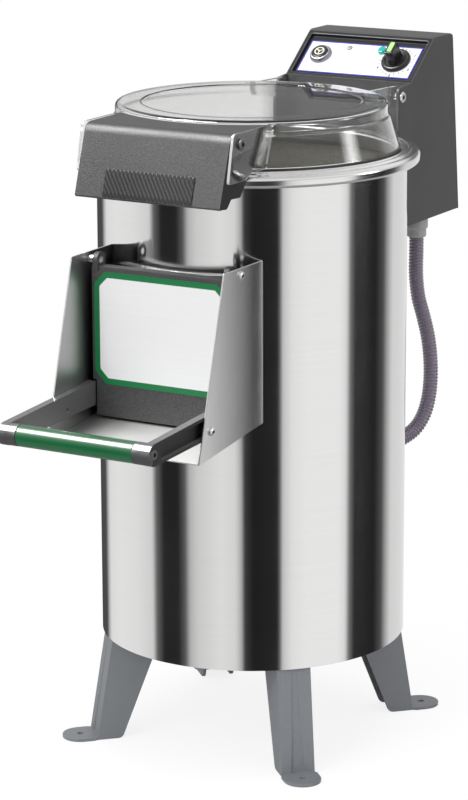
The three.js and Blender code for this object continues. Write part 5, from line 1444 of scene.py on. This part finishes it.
def stage_world(room_light):
    """White for the camera and down through clear parts, cards of light and dark for reflections, and an
    even light, a little stronger from above, for everything else."""
    world = bpy.data.worlds.new("studio")
    world.use_nodes = True
    bpy.context.scene.world = world
    tree = Tree(world.node_tree)
    direction = tree.node("ShaderNodeTexCoord").outputs["Generated"]
    x, y, height = tree.node("ShaderNodeSeparateXYZ", {0: direction}).outputs
    angle = tree.math("ARCTAN2", y, x)
    round_stops = [((degrees + 180) / 360, level) for degrees, level in (*CARDS, (180, CARDS[0][1]))]
    cards = levels(tree, tree.ranged(angle, -math.pi, math.pi), round_stops)
    sky = levels(tree, tree.ranged(height, -1.0, 1.0), [((z + 1) / 2, level) for z, level in SKY])
    low = tree.ranged(height, SKY_EDGES[0], SKY_EDGES[1], 1.0, 0.0)
    high = tree.ranged(height, SKY_EDGES[2], SKY_EDGES[3])
    mirrored_world = tree.blend(tree.math("MAXIMUM", low, high), cards, sky)
    for patch in PATCHES:
        mirrored_world = patched(tree, mirrored_world, angle, height, patch)
    above = tree.ranged(height, -1.0, 1.0, 0.5 * room_light, 1.5 * room_light)
    shining, even, white = [
        tree.node("ShaderNodeBackground", {0: colour, 1: strength}).outputs[0]
        for colour, strength in ((mirrored_world, 1.0), ((1, 1, 1, 1), above), ((1, 1, 1, 1), 1.0))]
    path = tree.node("ShaderNodeLightPath").outputs
    through = tree.math("MULTIPLY", path["Is Transmission Ray"], tree.math("LESS_THAN", height, -0.1))
    seen = tree.math("MAXIMUM", path["Is Camera Ray"], through)
    bent = tree.math("MAXIMUM", path["Is Glossy Ray"], path["Is Transmission Ray"])
    inner = tree.node("ShaderNodeMixShader", {0: bent, 1: even, 2: shining}).outputs[0]
    outer = tree.node("ShaderNodeMixShader", {0: seen, 1: inner, 2: white}).outputs[0]
    tree.link(outer, world.node_tree.nodes["World Output"], "Surface")


def stage_floor(radius):
    """A pale round floor. The camera sees it mostly as the white backdrop, with the shadow kept in it."""
    angle = np.linspace(0, 2 * math.pi, 96, endpoint=False)
    ring = np.stack([radius * np.cos(angle), radius * np.sin(angle), np.zeros_like(angle)], axis=1)
    mesh = bpy.data.meshes.new("floor")
    mesh.from_pydata(ring.tolist(), [], [list(range(len(ring)))])
    floor = bpy.data.objects.new("floor", mesh)
    material, tree, bsdf = shader("pale floor", Roughness=0.9)
    speck = tree.noise(placed(tree), 30.0, 2.0)
    tree.link(tree.blend(speck, (0.9, 0.9, 0.9, 1), (0.94, 0.94, 0.94, 1)), bsdf, "Base Color")
    glow = tree.node("ShaderNodeEmission", {"Color": (1, 1, 1, 1), "Strength": 1.0})
    seen = tree.math("MULTIPLY", tree.node("ShaderNodeLightPath").outputs["Is Camera Ray"], 0.84)
    mixed = tree.node("ShaderNodeMixShader", {0: seen, 1: bsdf.outputs[0], 2: glow.outputs[0]})
    tree.link(mixed.outputs[0], material.node_tree.nodes["Material Output"], "Surface")
    mesh.materials.append(material)
    floor.visible_glossy = False
    bpy.context.scene.collection.objects.link(floor)


def stage_lamp(name, place, aim, size, power, mirrored_only=False):
    """A square soft lamp, turned from its place to its aim. One that is mirrored only lights nothing but
    shows in reflections, and the others don't show there."""
    data = bpy.data.lights.new(name, "AREA")
    data.size, data.energy = size, power
    lamp = bpy.data.objects.new(name, data)
    towards = Vector(aim) - Vector(place)
    lamp.matrix_world = Matrix.Translation(place) @ towards.to_track_quat("-Z", "Y").to_matrix().to_4x4()
    lamp.visible_camera = lamp.visible_transmission = False
    lamp.visible_glossy, lamp.visible_diffuse = mirrored_only, not mirrored_only
    bpy.context.scene.collection.objects.link(lamp)


class PEELER_OT_stage(bpy.types.Operator):
    """Makes the camera, the world, the floor and the lamps"""

    bl_idname = "peeler.stage"
    bl_label = "Stage"

    def execute(self, context):
        stage = context.scene.peeler_stage
        stage_camera()
        stage_world(stage.room_light)
        stage_floor(stage.floor_radius)
        stage_lamp("key", (-0.6, -2.6, 1.9), (0, 0, 0.5), 1.6, stage.key_power)
        stage_lamp("top", (0.6, 0.2, 2.6), (0, 0, 0.6), 1.8, stage.top_power)
        stage_lamp("highlight", (-1.46, -1.36, 3.18), (0, -0.3, 0.7), 1.8, stage.highlight_power, True)
        return {"FINISHED"}


class PEELER_PT_panel(bpy.types.Panel):
    """Sizes, colours and steps of the potato peeler"""

    bl_label = "Potato peeler"
    bl_idname = "PEELER_PT_panel"
    bl_space_type = "VIEW_3D"
    bl_region_type = "UI"
    bl_category = "Peeler"

    def draw(self, context):
        for settings in (context.scene.peeler_finish, context.scene.peeler_stage):
            box = self.layout.box()
            for name in settings.__annotations__:
                box.prop(settings, name)
        for operator in OPERATORS:
            self.layout.operator(operator.bl_idname)


OPERATORS = (
    PEELER_OT_stage, PEELER_OT_finishes, PEELER_OT_conduit, PEELER_OT_drum, PEELER_OT_chamber, PEELER_OT_legs,
    PEELER_OT_chute, PEELER_OT_door, PEELER_OT_lever, PEELER_OT_lid, PEELER_OT_hood, PEELER_OT_box,
    PEELER_OT_panel,
)
CLASSES = (PeelerFinish, PeelerStage, *OPERATORS, PEELER_PT_panel)


def register():
    for made in CLASSES:
        bpy.utils.register_class(made)
    bpy.types.Scene.peeler_finish = bpy.props.PointerProperty(type=PeelerFinish)
    bpy.types.Scene.peeler_stage = bpy.props.PointerProperty(type=PeelerStage)


def unregister():
    del bpy.types.Scene.peeler_stage
    del bpy.types.Scene.peeler_finish
    for made in reversed(CLASSES):
        bpy.utils.unregister_class(made)


def main():
    register()
    bpy.context.scene.view_settings.view_transform = "Standard"
    for operator in OPERATORS:
        family, name = operator.bl_idname.split(".")
        getattr(getattr(bpy.ops, family), name)()


if __name__ == "__main__":
    main()
